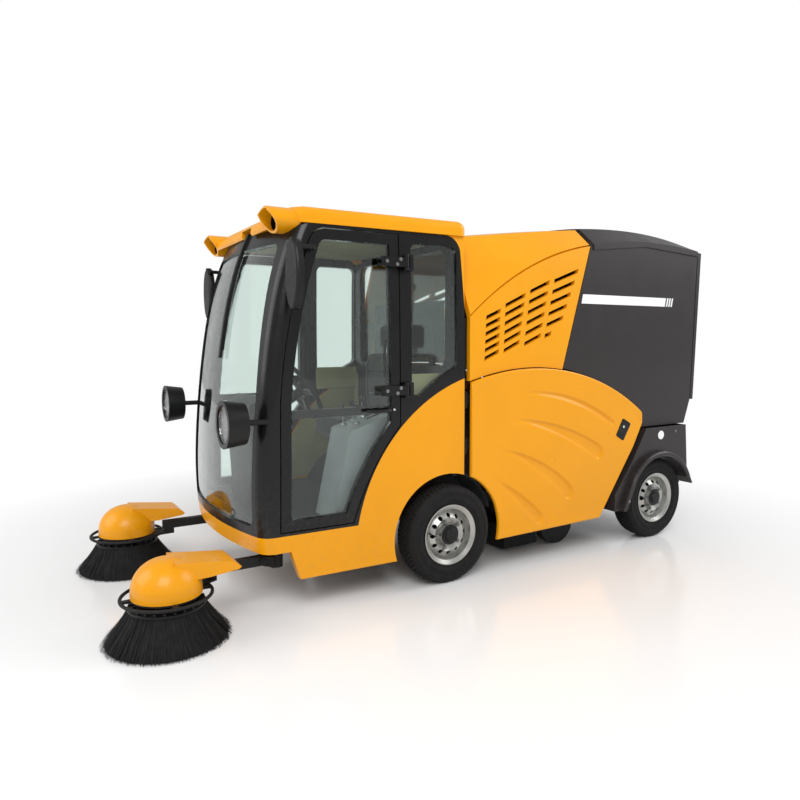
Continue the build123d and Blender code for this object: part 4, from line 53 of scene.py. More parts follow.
# ---- driving sizes, as in the CAD model
FRONT_AXLE_X = 0.18
REAR_AXLE_X = -1.53
WHEEL_Y = 0.605
AXLE_Z = 0.275
TYRE_RADIUS = 0.275
BRUSH_X = 1.678
BRUSH_Y = 0.567
MIRROR_X = 1.085
MIRROR_Y = 0.735
MIRROR_Z = 1.65
LAMP_Y = 0.622
LAMP_Z = 0.965
TAIL_LAMP_Y = 0.49
SIDE_DOOR_Y = 0.678
SIDE_DOOR_THICKNESS = 0.022
SIDE_DOOR_BACK_Y = 0.6635
SCREEN_Y = 0.612
HORN_Y = 0.508
HORN_Z = 1.93

# Rays that lay trim on CAD surfaces start clear of the machine, beside it or behind it.
OUTSIDE_Y = 1.2
BEHIND_X = -2.3


# ---- colours
def srgb(red, green, blue):
    """Linear colour of an 8-bit screen colour."""
    def linear(value):
        value /= 255
        return value / 12.92 if value <= 0.04045 else ((value + 0.055) / 1.055) ** 2.4
    return (linear(red), linear(green), linear(blue), 1.0)


YELLOW = (0.8, 0.325, 0.0, 1.0)
GRAPHITE = (0.024, 0.0203, 0.0207, 1.0)
BLACK = srgb(13, 13, 15)


# ---- materials
def add_node(tree, kind, inputs=None, **settings):
    """New shader node; inputs are values, or sockets to link."""
    made = tree.nodes.new(kind)
    for key, value in settings.items():
        setattr(made, key, value)
    for key, value in (inputs or {}).items():
        if isinstance(value, bpy.types.NodeSocket):
            tree.links.new(value, made.inputs[key])
        else:
            made.inputs[key].default_value = value
    return made


class Shader:
    """A node material with one Principled shader, built up by short calls."""

    def __init__(self, name, **settings):
        self.material = bpy.data.materials.new(name)
        self.material.use_nodes = True
        self.tree = self.material.node_tree
        self.links = self.tree.links
        self.surface = self.tree.nodes["Principled BSDF"]
        self.coords = self.node("ShaderNodeTexCoord").outputs["Object"]
        for key, value in settings.items():
            self.surface.inputs[key.replace("_", " ")].default_value = value

    def node(self, kind, inputs=None, **settings):
        return add_node(self.tree, kind, inputs, **settings)

    def noise(self, scale, detail=3.0, roughness=0.5, stretch=(1, 1, 1)):
        mapping = self.node("ShaderNodeMapping", {"Vector": self.coords, "Scale": stretch})
        inputs = {"Vector": mapping.outputs[0], "Scale": scale, "Detail": detail, "Roughness": roughness}
        return self.node("ShaderNodeTexNoise", inputs).outputs["Fac"]

    def span(self, value, low, high, from_low=0.3, from_high=0.7):
        inputs = {"Value": value, "From Min": from_low, "From Max": from_high, "To Min": low, "To Max": high}
        return self.node("ShaderNodeMapRange", inputs).outputs[0]

    def mix(self, factor, first, second):
        inputs = {"Factor": factor, 6: first, 7: second}
        return self.node("ShaderNodeMix", inputs, data_type="RGBA").outputs[2]

    def times(self, first, second):
        return self.node("ShaderNodeMath", {0: first, 1: second}, operation="MULTIPLY").outputs[0]

    def colour(self, value):
        self.links.new(value, self.surface.inputs["Base Color"])

    def roughness(self, value):
        self.links.new(value, self.surface.inputs["Roughness"])

    def bump(self, height, distance, strength=1.0):
        made = self.node("ShaderNodeBump", {"Height": height, "Distance": distance, "Strength": strength})
        previous = self.surface.inputs["Normal"].links
        if previous:
            self.links.new(previous[0].from_socket, made.inputs["Normal"])
        self.links.new(made.outputs[0], self.surface.inputs["Normal"])
        return self


def shade(colour, factor):
    return tuple(channel * factor for channel in colour[:3]) + (1.0,)


def paint(name, colour, roughness=0.32, coat=0.14, variation=0.05, dust=0.1):
    """Coated paint with slow colour variation, orange peel and road dust low down."""
    made = Shader(name, Roughness=roughness, Coat_Weight=coat, Coat_Roughness=0.08, Specular_IOR_Level=0.25)
    broad = made.span(made.noise(2.2, 4), 0, 1)
    painted = made.mix(broad, shade(colour, 1 - variation), shade(colour, 1 + variation / 2))
    height = made.node("ShaderNodeSeparateXYZ", {"Vector": made.coords}).outputs["Z"]
    low = made.span(height, dust, 0, 0.15, 0.75)
    speckle = made.span(made.noise(38, 5, 0.65), 0, 1, 0.45, 0.75)
    made.colour(made.mix(made.times(low, speckle), painted, srgb(150, 140, 125)))
    made.roughness(made.span(made.noise(9, 5), roughness - 0.05, roughness + 0.08))
    made.bump(made.noise(260, 2), 0.00012, 0.35)
    return made.material


def plastic(name, colour, roughness=0.55, grain=420, depth=0.0003):
    made = Shader(name, Roughness=roughness, Specular_IOR_Level=0.3)
    made.colour(made.mix(made.span(made.noise(6, 3), 0, 1), shade(colour, 0.88), shade(colour, 1.14)))
    made.roughness(made.span(made.noise(30, 3), roughness - 0.07, roughness + 0.08))
    made.bump(made.noise(grain, 2), depth, 0.5)
    return made.material


def metal(name, colour, roughness=0.35, stretch=(1, 1, 14)):
    made = Shader(name, Metallic=1.0, Roughness=roughness)
    made.colour(made.mix(made.span(made.noise(14, 4), 0, 1), shade(colour, 0.85), colour))
    made.roughness(made.span(made.noise(60, 3, stretch=stretch), roughness - 0.08, roughness + 0.1))
    made.bump(made.noise(300, 2, stretch=stretch), 0.00008, 0.3)
    return made.material


def glass(name, tint, roughness=0.02):
    made = Shader(name, Roughness=roughness, IOR=1.45, Transmission_Weight=1.0, Base_Color=tint)
    made.roughness(made.span(made.noise(5, 3), roughness, roughness + 0.02))
    return made.material


def woven(name, colour, pitch=0.0016):
    """Cloth: crossing threads as waves, with sheen."""
    made = Shader(name, Roughness=0.85, Sheen_Weight=0.35)
    threads = {"Vector": made.coords, "Scale": 0.32 / pitch}
    warp = made.node("ShaderNodeTexWave", threads, bands_direction="X")
    weft = made.node("ShaderNodeTexWave", threads, bands_direction="Z")
    cross = made.times(warp.outputs[1], weft.outputs[1])
    made.colour(made.mix(cross, shade(colour, 0.7), shade(colour, 1.3)))
    made.bump(cross, 0.0004, 0.5)
    made.bump(made.noise(22, 3), 0.0012, 0.4)
    return made.material


MATERIALS = {
    "yellow": paint("yellow_paint", YELLOW),
    "graphite": paint("graphite_paint", GRAPHITE, roughness=0.36, coat=0.12),
    "black": paint("black_paint", BLACK, roughness=0.28, coat=0.15),
    "chassis_black": plastic("chassis_coating", srgb(22, 22, 23), 0.6, 180, 0.0006),
    "engine_iron": metal("engine_casting", srgb(96, 98, 100), 0.6),
    "floor": plastic("floor_mat", srgb(52, 53, 55), 0.75, 160, 0.0006),
    "clear": glass("clear_glass", srgb(232, 242, 238)),
    "lens": glass("lamp_glass", srgb(245, 246, 248), 0.04),
    "tail_lens": plastic("tail_lens", srgb(170, 20, 18), 0.15, 500, 0.0001),
    "seat_vinyl": woven("seat_cloth", srgb(56, 56, 52)),
    "grey_plastic": plastic("grey_plastic", srgb(160, 162, 164), 0.5),
    "black_plastic": plastic("black_plastic", srgb(17, 17, 18), 0.42),
    "wheel_steel": metal("wheel_steel", srgb(182, 182, 178), 0.34, (3, 3, 3)),
    "tyre": plastic("tyre_rubber", srgb(19, 18, 18), 0.82, 500, 0.0003),
    "rod_chrome": metal("rod_chrome", srgb(225, 226, 228), 0.12),
    "steel": metal("machined_steel", srgb(150, 150, 152), 0.35),
    "bristle": plastic("bristle", srgb(13, 12, 12), 0.7, 500, 0.0003),
    "solid_tyre": plastic("solid_tyre", srgb(40, 40, 41), 0.7, 300, 0.0004),
    "white": paint("white_film", srgb(236, 237, 238), 0.4, 0.2, dust=0.0),
    "mirror": metal("mirror_silver", srgb(235, 238, 240), 0.03, (1, 1, 1)),
    "olive": plastic("cab_lining", srgb(168, 162, 122), 0.8, 240, 0.0005),
    "rubber": plastic("rubber_seal", srgb(20, 20, 21), 0.62, 350, 0.0003),
    "amber": plastic("amber_lens", srgb(225, 110, 12), 0.15, 500, 0.0001),
    "belt": woven("belt_webbing", srgb(26, 26, 28), 0.0022),
}

node_slots = {entry["node"]: entry["material_slot"] for entry in frame["record"]["subparts"]}
for node, item in frame["nodes"].items():
    item.data.materials.clear()
    item.data.materials.append(MATERIALS[node_slots[node]])


# ---- building pieces
def turns(count, start=0.0):
    """Angles evenly round a circle."""
    return [start + 2 * pi * step / count for step in range(count)]


def at(*place):
    return Vector(place)


def flat(outline, y):
    """Ring at one distance from the middle plane, from an (X, Z) outline."""
    return [(x, y, z) for x, z in outline]


def sided(profile, side):
    """Lathe profile that runs outward on its side of the machine."""
    return [(radius, side * along) for radius, along in profile]


def placed(name, data):
    """New object in the scene."""
    item = bpy.data.objects.new(name, data)
    bpy.context.collection.objects.link(item)
    return item


def edited(mesh, action):
    """Runs one bmesh action on a mesh."""
    work = bmesh.new()
    work.from_mesh(mesh)
    action(work)
    work.to_mesh(mesh)
    work.free()


class Shape:
    """Points and faces gathered for one piece."""

    def __init__(self):
        self.points = []
        self.faces = []

    def add(self, points, faces):
        base = len(self.points)
        self.points.extend(tuple(point) for point in points)
        self.faces.extend(tuple(index + base for index in face) for face in faces)
        return self

    def rings(self, rings, caps=True, loop=False):
        """Skin over rings of equally many points; loop joins the last to the first."""
        count = len(rings[0])
        points = [point for ring in rings for point in ring]
        faces = []
        for row in range(len(rings) if loop else len(rings) - 1):
            here, there = row * count, (row + 1) % len(rings) * count
            for column in range(count):
                after = (column + 1) % count
                faces.append((here + column, here + after, there + after, there + column))
        if caps and not loop:
            faces.append(tuple(range(count))[::-1])
            faces.append(tuple(range(len(points) - count, len(points))))
        return self.add(points, faces)

    def lathe(self, profile, origin, axis, segments, loop=False):
        """Turns (radius, along) points about an axis through the origin."""
        origin = Vector(origin)
        shift = "XYZ".index(axis)
        rings = []
        for radius, along in profile:
            ring = [(along, radius * cos(turn), radius * sin(turn)) for turn in turns(segments)]
            rings.append([origin + Vector(place[-shift:] + place[:-shift]) for place in ring])
        return self.rings(rings, caps=False, loop=loop)

    def rod(self, start, end, radius, segments=16, end_radius=None):
        start, end = Vector(start), Vector(end)
        turn = (end - start).to_track_quat("Z", "Y").to_matrix()
        rings = []
        for place, size in ((start, radius), (end, radius if end_radius is None else end_radius)):
            rings.append([place + turn @ at(size * cos(a), size * sin(a), 0) for a in turns(segments)])
        return self.rings(rings)

    def bolt(self, place, normal, radius, height):
        """Hexagon head on a washer."""
        place, normal = Vector(place), Vector(normal).normalized()
        self.rod(place, place + normal * 0.0016, radius * 1.5, 20)
        return self.rod(place + normal * 0.0016, place + normal * height, radius, 6, radius * 0.93)

    def block(self, centre, size, turn=None, soften=0.0):
        """Box with optional chamfered long edges, turned by a matrix."""
        half = Vector(size) / 2
        cut = min(soften, half.x * 0.95, half.y * 0.95)
        if cut:
            ends = 1 - cut / max(half.x, half.y)
            x, y = half.x - cut, half.y - cut
            outline = [(x, -half.y), (half.x, -y), (half.x, y), (x, half.y)]
            layers = [(-half.z, ends), (cut - half.z, 1), (half.z - cut, 1), (half.z, ends)]
        else:
            outline, layers = [(half.x, -half.y), (half.x, half.y)], [(-half.z, 1), (half.z, 1)]
        outline += [(-x, -y) for x, y in outline]
        turn = turn or Matrix.Identity(3)
        centre = Vector(centre)
        return self.rings([[centre + turn @ at(x * k, y * k, z) for x, y in outline] for z, k in layers])

    def tube(self, path, radius, segments, loop=False):
        """Round bar along a list of points."""
        path = [Vector(point) for point in path]
        rings = []
        count = len(path)
        normal = None
        for step, place in enumerate(path):
            ahead = path[(step + 1) % count] if loop or step < count - 1 else place
            behind = path[step - 1] if loop or step else place
            along = (ahead - behind).normalized()
            if normal is None:
                normal = along.orthogonal().normalized()
            normal = (normal - along * normal.dot(along)).normalized()
            side = along.cross(normal)
            rings.append([place + (normal * cos(a) + side * sin(a)) * radius for a in turns(segments)])
        return self.rings(rings, loop=loop)

    def bolts(self, tree, origins, inward, radius, height):
        """A bolt where the ray from each origin meets the tree."""
        for origin in origins:
            self.bolt(hit(tree, origin, inward)[0], -Vector(inward), radius, height)
        return self

    def linked(self, name):
        """Object with this shape as its mesh."""
        mesh = bpy.data.meshes.new(name)
        mesh.from_pydata(self.points, [], self.faces)
        return placed(name, mesh)

    def piece(self, name, body, slot, material=None, **looks):
        item = self.linked(name)
        item.data.validate()
        return finish_piece(item, body, slot, material, **looks)


def finish_piece(item, body, slot, material=None, bevel=0.0, stands_for=(), angle=35):
    """Outward normals, shading, softened edges, material, and the body it rides on."""
    mesh = item.data
    edited(mesh, lambda work: bmesh.ops.recalc_face_normals(work, faces=work.faces))
    mesh.shade_smooth()
    mesh.set_sharp_from_angle(angle=radians(angle))
    if bevel:
        soften = item.modifiers.new("soften", "BEVEL")
        soften.width = bevel
        soften.segments = 2
        soften.limit_method = "ANGLE"
        soften.angle_limit = radians(40)
    mesh.materials.append(MATERIALS[material or slot])
    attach(item, body)
    if stands_for:
        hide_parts(*stands_for)
    return item


def surface_tree(item):
    """Search tree over the surface of a piece or CAD node."""
    points = [vertex.co.copy() for vertex in item.data.vertices]
    return BVHTree.FromPolygons(points, [list(polygon.vertices) for polygon in item.data.polygons])


def node_tree(name):
    return surface_tree(frame["nodes"][name])


def hit(tree, origin, direction):
    """Place and normal where a ray meets the tree, or None for both."""
    return tree.ray_cast(Vector(origin), Vector(direction))[:2]


def hit_side(tree, side, x, z):
    """Place where a level ray from outside meets the tree."""
    return hit(tree, (x, side * OUTSIDE_Y, z), (0, -side, 0))[0]


def arc(first, middle, last, steps):
    """Points along the circle through three points (X, Z)."""
    a, b, c = (complex(*point) for point in (first, middle, last))
    ratio = (c - a) / (b - a)
    centre = a + (b - a) * (ratio - abs(ratio) ** 2) / (2j * ratio.imag)
    start, mid, end = (phase(point - centre) for point in (a, b, c))
    sweep = (end - start) % (2 * pi)
    if (mid - start) % (2 * pi) > sweep:
        sweep = -((start - end) % (2 * pi))
    places = [centre + rect(abs(a - centre), start + sweep * step / steps) for step in range(steps + 1)]
    return [(place.real, place.imag) for place in places]


def squared(value, power):
    """Swells a sine or cosine, so that a circle turns into a rounded square."""
    return copysign(abs(value) ** power, value)


def curve(start, control, end, steps=6):
    """Points along a quadratic curve."""
    return [
        tuple(a * (1 - t) ** 2 + b * 2 * t * (1 - t) + c * t**2 for a, b, c in zip(start, control, end))
        for t in (step / steps for step in range(steps + 1))
    ]


def rounded(outline, radius):
    """Outline with its corners rounded."""
    result = []
    for index, corner in enumerate(outline):
        here = Vector(corner)
        before = Vector(outline[index - 1]) - here
        after = Vector(outline[(index + 1) % len(outline)]) - here
        reach = min(radius, before.length * 0.48, after.length * 0.48)
        result += curve(here + before.normalized() * reach, here, here + after.normalized() * reach)
    return result


def rounded_box(low, high, radius):
    return rounded((low, (high[0], low[1]), high, (low[0], high[1])), radius)


# ---- wheels
TREAD_ROWS = (-0.048, -0.024, 0.0, 0.024, 0.048)
TREAD_PITCHES = 64
BLOCK_WIDTH = 0.0205


def tyre(name, axle_x, side, body, node):
    """Road tyre: rounded sidewalls with moulded rings, and blocks on the tread."""
    centre = at(axle_x, side * WHEEL_Y, AXLE_Z)
    half = [
        (0.1525, 0.052), (0.156, 0.06), (0.17, 0.063), (0.176, 0.0655), (0.186, 0.0705), (0.198, 0.0745),
        (0.2, 0.0762), (0.203, 0.0762), (0.205, 0.0752), (0.222, 0.0768), (0.236, 0.0752), (0.238, 0.0764),
        (0.241, 0.0762), (0.243, 0.0745), (0.253, 0.0715), (0.262, 0.066), (0.2662, 0.06), (0.2672, 0.03),
    ]
    profile = half + [(radius, -along) for radius, along in reversed(half)]
    shape = Shape().lathe(profile, centre, "Y", 96, loop=True)
    pitch = 2 * pi / TREAD_PITCHES
    for row, offset in enumerate(TREAD_ROWS):
        edge = abs(offset) > 0.04
        top = TYRE_RADIUS - (0.0012 if edge else 0.0002)
        for step in range(TREAD_PITCHES):
            start = (step + 0.37 * row) * pitch
            rings = []
            for radius, shrink in ((0.262, 0.0), (top - 0.001, 0.0), (top, 0.0007)):
                ring = []
                for across, along in ((-1, 0), (1, 0), (1, 1), (-1, 1)):
                    y = offset + across * (BLOCK_WIDTH / 2 - shrink)
                    skew = 0.1 * across * (1 if row % 2 else -1)
                    angle = start + (0.09 + 0.8 * along + skew) * pitch
                    reach = radius - (0.0035 if edge and across * offset > 0 else 0)
                    ring.append(centre + at(reach * sin(angle), y, reach * cos(angle)))
                rings.append(ring)
            shape.rings(rings)
    shape.piece(name, body, "tyre", stands_for=(node,), angle=40)


def hub(name, axle_x, side, body):
    """Dark brake drum behind the vent holes, hub cap, wheel nuts and valve."""
    def out(along):
        return at(axle_x, side * along, AXLE_Z)

    drum = Shape().lathe([(0.03, 0.0), (0.118, 0.0), (0.122, -0.01), (0.122, -0.05)], out(0.624), "Y", 48)
    drum.piece(f"{name}_drum", body, "wheel_steel", "chassis_black")
    profile = [
        (0.0562, 0.022), (0.0575, 0.026), (0.055, 0.03), (0.04, 0.032),
        (0.036, 0.042), (0.033, 0.0455), (0.001, 0.0465),
    ]
    cap = Shape().lathe(sided(profile, side), out(0.64), "Y", 40)
    cap.piece(f"{name}_cap", body, "wheel_steel", "black_plastic")
    nuts = Shape()
    for angle in turns(5, 0.3):
        place = out(0.6485) + at(0.077 * sin(angle), 0, 0.077 * cos(angle))
        outward = at(0, side, 0)
        nuts.rod(place - outward * 0.006, place + outward * 0.003, 0.0125, 20)
        nuts.rod(place, place + outward * 0.014, 0.0095, 6)
        nuts.rod(place, place + outward * 0.019, 0.0055, 12, 0.004)
    nuts.piece(f"{name}_nuts", body, "steel")
    stem = [
        (0.0052, 0.0), (0.0046, 0.01), (0.0034, 0.012), (0.0034, 0.016),
        (0.0042, 0.0165), (0.0042, 0.024), (0.001, 0.0246),
    ]
    valve = Shape().lathe(sided(stem, side), out(0.655) + at(0.13, 0, 0.02), "Y", 16)
    valve.piece(f"{name}_valve", body, "tyre", "rubber")


for hand, side in SIDES:
    for place, axle_x in (("front", FRONT_AXLE_X), ("rear", REAR_AXLE_X)):
        body = f"{place}_wheel_{hand}"
        tyre(f"{place}_tread_{hand}", axle_x, side, body, f"{place}_tyre_{hand}")
        hub(f"{place}_hub_{hand}", axle_x, side, body)


# ---- sweeping brushes
TUFT_RINGS = ((0.166, 0.286, 150), (0.158, 0.272, 140), (0.148, 0.252, 130), (0.138, 0.232, 110))
TUFT_ROOT_Z = 0.156


def brush(hand, side):
    """Cone of bristle tufts under a moulded plate with a notched crown."""
    draw = random.Random(11)
    centre = at(BRUSH_X, side * BRUSH_Y, 0)
    body = f"sweep_{hand}"
    profile = [
        (0.112, 0.15), (0.15, 0.098), (0.205, 0.02), (0.268, 0.006),
        (0.232, 0.055), (0.185, 0.118), (0.168, 0.152),
    ]
    core = Shape().lathe(profile, centre, "Z", 72, loop=True)
    core.piece(f"brush_core_{hand}", body, "bristle", stands_for=(f"brush_{hand}",))
    tufts = Shape()
    for ring, (top_radius, tip_radius, count) in enumerate(TUFT_RINGS):
        for index in range(count):
            lean = 2 * pi * (index + draw.uniform(-0.3, 0.3)) / count
            out = at(cos(lean), sin(lean), 0)
            along = at(-sin(lean), cos(lean), 0)
            for _ in range(3):
                spread = lean + draw.uniform(-0.012, 0.012)
                tip_turn = lean + draw.uniform(-0.05, 0.05) + 0.05
                tip = tip_radius + draw.uniform(-0.012, 0.004)
                low = 0.0028 + draw.uniform(0, 0.01) + (0.003 if ring else 0)
                radius = top_radius + draw.uniform(-0.005, 0.004)
                rings = []
                for step in range(5):
                    t = step / 4
                    reach = radius + (tip - radius) * (t * 0.72 + 0.28 * t * t)
                    turn = spread + (tip_turn - spread) * t
                    height = TUFT_ROOT_Z + (low - TUFT_ROOT_Z) * t
                    place = centre + at(reach * cos(turn), reach * sin(turn), height)
                    width = 0.0021 * (1 - 0.35 * t)
                    rings.append([place + out * width * 0.6, place + along * width, place - along * width])
                tufts.rings(rings)
    tufts.piece(f"brush_tufts_{hand}", body, "bristle", angle=60)
    profile = [
        (0.015, 0.199), (0.034, 0.199), (0.04, 0.176), (0.12, 0.168), (0.16, 0.167),
        (0.1705, 0.163), (0.1715, 0.155), (0.168, 0.15), (0.015, 0.15),
    ]
    plate = Shape().lathe(profile, centre, "Z", 72, loop=True)
    for turn in turns(24):
        spin = Matrix.Rotation(turn, 3, "Z")
        plate.block(centre + spin @ at(0.15, 0, 0.169), (0.034, 0.012, 0.01), spin, 0.002)
    plate.piece(f"brush_plate_{hand}", body, "black_plastic", bevel=0.0006)


for hand, side in SIDES:
    brush(hand, side)

# ---- driver's seat
PIPING_RADIUS = 0.0032


def cushion(name, centre, size, corner, cap, channels=(), tilt=0.0):
    """Padded cloth block: swollen by a short cloth run, then sewn along its channels."""
    half = Vector(size) / 2
    rings = []
    for layer in range(15):
        turn = pi * (layer / 14 - 0.5)
        shrink = corner * (1 - cos(turn))
        z = (half.z - corner) * (1 if turn > 0 else -1 if turn < 0 else 0) + corner * sin(turn)
        ring = []
        for index in range(48):
            angle = 2 * pi * (index + 0.5) / 48
            x, y = squared(cos(angle), 0.34), squared(sin(angle), 0.34)
            ring.append((x * (half.x - shrink), y * (half.y - shrink), z))
        rings.append(ring)
    item = Shape().rings(rings).linked(name)
    remesh = item.modifiers.new("even", "REMESH")
    remesh.mode = "VOXEL"
    remesh.voxel_size = 0.006
    apply_modifiers(item)
    start = [vertex.co.copy() for vertex in item.data.vertices]
    cloth = item.modifiers.new("swell", "CLOTH")
    cloth.settings.use_pressure = True
    cloth.settings.uniform_pressure_force = 4.0
    cloth.settings.effector_weights.gravity = 0.0
    cloth.settings.quality = 4
    scene = bpy.context.scene
    for step in range(1, 21):
        scene.frame_set(step)
    apply_modifiers(item)
    scene.frame_set(1)
    for vertex, place in zip(item.data.vertices, start):
        moved = vertex.co - place
        if moved.length > cap:
            moved *= cap / moved.length
        vertex.co = place + moved
    smooth = item.modifiers.new("ease", "SMOOTH")
    smooth.iterations = 3
    smoother = item.modifiers.new("fine", "SUBSURF")
    smoother.levels = smoother.render_levels = 1
    apply_modifiers(item)
    spin = Matrix.Rotation(tilt, 3, "Y")
    centre = Vector(centre)
    for vertex in item.data.vertices:
        place = vertex.co.copy()
        for axis, level, low, high in channels:
            if low <= place[1 - axis] <= high and abs(place.z) > half.z * 0.4:
                depth = 0.009 * exp(-((place[axis] - level) / 0.006) ** 2)
                place.z -= copysign(depth, place.z)
        vertex.co = centre + spin @ place
    finish_piece(item, "chassis", "seat_vinyl", angle=180)
    return item


def apply_modifiers(item):
    """Leaves the modified mesh on the piece and no modifier behind."""
    graph = bpy.context.evaluated_depsgraph_get()
    made = bpy.data.meshes.new_from_object(item.evaluated_get(graph), depsgraph=graph)
    item.modifiers.clear()
    item.data = made


def piping(name, item, path):
    """Round seam laid on the surface of a cushion."""
    tree = surface_tree(item)
    laid = [tree.find_nearest(Vector(point))[0] for point in path]
    Shape().tube(laid, PIPING_RADIUS, 8, loop=True).piece(name, "chassis", "seat_vinyl", "belt")


def loop_path(centre, half_a, half_b, plane, level, steps=72, power=0.36):
    """Rounded rectangle of points in the XY or YZ plane."""
    points = []
    for angle in turns(steps):
        a = squared(cos(angle), power) * half_a
        b = squared(sin(angle), power) * half_b
        offset = (a, b, level) if plane == "XY" else (level, a, b)
        points.append(Vector(centre) + Vector(offset))
    return points


def seams(front, back):
    """Two long channels and two short ones between them."""
    return ((1, -0.15, -1, 1), (1, 0.15, -1, 1), (0, front, -0.15, 0.15), (0, back, -0.15, 0.15))


UPRIGHT = radians(90)
CUSHION = (0.42, 0, 0.826)
BACK = (0.194, 0, 1.082)
seat_cushion = cushion("seat_cushion", CUSHION, (0.44, 0.462, 0.096), 0.04, 0.014, seams(-0.06, 0.07))
piping("seat_cushion_piping", seat_cushion, loop_path(CUSHION, 0.215, 0.226, "XY", 0.034))
seat_back = cushion("seat_back", BACK, (0.398, 0.462, 0.104), 0.042, 0.012, seams(-0.07, 0.06), UPRIGHT)
piping("seat_back_piping", seat_back, loop_path(BACK, 0.226, 0.194, "YZ", 0.034))
cushion("seat_headrest", (0.163, 0, 1.375), (0.152, 0.244, 0.066), 0.03, 0.008, tilt=UPRIGHT)

FOLD = ((0.646, 0.148, 0.196), (0.664, 0.148, 0.196), (0.67, 0.134, 0.178), (0.682, 0.134, 0.178))
SEAT_BASE_LAYERS = (
    (0.4158, 0.15, 0.2), (0.44, 0.15, 0.2), (0.446, 0.14, 0.188), (0.64, 0.136, 0.18), *FOLD,
    *((z + 0.042, x, y) for z, x, y in FOLD), (0.73, 0.148, 0.2), (0.772, 0.15, 0.205), (0.782, 0.148, 0.2),
)
seat_base = Shape().rings([loop_path((0.4, 0, z), x, y, "XY", 0, 48, 0.3) for z, x, y in SEAT_BASE_LAYERS])
seat_base.piece("seat_base", "chassis", "seat_vinyl", "black_plastic", angle=50, stands_for=("seat",))
rails = Shape()
for y in (-0.165, 0.165):
    rails.block((0.4, y, 0.779), (0.38, 0.03, 0.012), soften=0.002)
for y in (-0.06, 0.06):
    rails.rod((0.163, y, 1.262), (0.163, y, 1.312), 0.007, 16)
    rails.rod((0.163, y, 1.276), (0.163, y, 1.286), 0.013, 16)
rails.piece("seat_rails", "chassis", "steel", "rod_chrome")
recliner = Shape()
for side in (1, -1):
    recliner.rod((0.205, side * 0.228, 0.842), (0.205, side * 0.243, 0.842), 0.034, 24)
    recliner.block((0.2, side * 0.236, 0.905), (0.044, 0.012, 0.15), soften=0.003)
recliner.rod((0.33, -0.244, 0.842), (0.205, -0.238, 0.842), 0.008, 12)
recliner.piece("seat_recliner", "chassis", "seat_vinyl", "black_plastic", bevel=0.001)
buckle = Shape()
buckle.block((0.3, -0.236, 0.888), (0.05, 0.016, 0.07), soften=0.003)
buckle.block((0.3, -0.236, 0.926), (0.03, 0.01, 0.008), soften=0.001)
buckle.tube([(0.3, -0.236, 0.856), (0.296, -0.234, 0.83), (0.29, -0.23, 0.8)], 0.006, 10)
buckle.piece("belt_buckle", "chassis", "black_plastic", bevel=0.0012)

# ---- side doors with soft scoops
SCOOPS = (
    ((-0.119, 1.03), (-0.62, 1.03), (-1.085, 0.845), (-1.112, 0.806), (-1.07, 0.795), (-0.605, 0.985)),
    ((-0.097, 0.902), (-0.56, 0.852), (-0.975, 0.69), (-1.01, 0.632), (-0.935, 0.59), (-0.52, 0.795)),
    ((-0.062, 0.745), (-0.425, 0.65), (-0.735, 0.452), (-0.755, 0.402), (-0.66, 0.39), (-0.375, 0.6)),
    ((-0.06, 0.592), (-0.265, 0.485), (-0.48, 0.32), (-0.505, 0.268), (-0.425, 0.262), (-0.225, 0.445)),
)
LATCH = ((-1.185, 0.844), (-1.259, 0.804), (-1.191, 0.695), (-1.122, 0.735))
SCOOP_DEPTH = 0.0115
DOOR_GRID = 0.0065
DOOR_ROLL = 0.009


def side_door_outline():
    """The door's edge seen from the side, its rear corners rounded."""
    corner = (-1.375, 0.874)
    top = arc((0.04, 1.117), (-0.615, 1.174), corner, 70)
    top = [point for point in top if dist(point, corner) > 0.021]
    outline = top + curve(top[-1], corner, (-1.3756, 0.852))[1:]
    outline += curve((-1.3766, 0.815), (-1.377, 0.8), (-1.37, 0.787))
    outline += curve((-1.3025, 0.6603), (-1.297, 0.65), (-1.29, 0.6402))
    outline += [(-0.991, 0.208), (-0.15, 0.195)]
    return outline + arc((-0.15, 0.195), (-0.0985, 0.47), (0.04, 0.5848), 40)[1:]


def inset(outline, amount):
    """Outline drawn in by an amount, corners mitred."""
    area = sum(a[0] * b[1] - b[0] * a[1] for a, b in zip(outline, outline[1:] + outline[:1]))
    turn = 1 if area > 0 else -1
    result = []
    for index, point in enumerate(outline):
        before = (Vector(point) - Vector(outline[index - 1])).normalized()
        after = (Vector(outline[(index + 1) % len(outline)]) - Vector(point)).normalized()
        first, second = at(-before.y, before.x) * turn, at(-after.y, after.x) * turn
        both = first + second
        both = both / max(both.length_squared / 2, 0.4)
        result.append(tuple(Vector(point) + both * amount))
    return result


def inside(points, outline):
    """Which points lie within an outline."""
    x, z = points[:, 0], points[:, 1]
    found = np.zeros(len(points), bool)
    for (ax, az), (bx, bz) in zip(outline, outline[1:] + outline[:1]):
        crosses = (az > z) != (bz > z)
        with np.errstate(divide="ignore", invalid="ignore"):
            found ^= crosses & (x < (bx - ax) * (z - az) / (bz - az) + ax)
    return found


def gap_to(points, line):
    """Shortest distance from each point to a polyline."""
    best = np.full(len(points), 1e9)
    for start, end in zip(line, line[1:]):
        start, run = np.array(start), np.array(end) - np.array(start)
        along = np.clip(((points - start) @ run) / max(run @ run, 1e-12), 0, 1)
        best = np.minimum(best, np.linalg.norm(points - (start + along[:, None] * run), axis=1))
    return best


def ease(value):
    """Runs from 0 to 1 with level ends."""
    value = np.clip(value, 0, 1)
    return value * value * (3 - 2 * value)


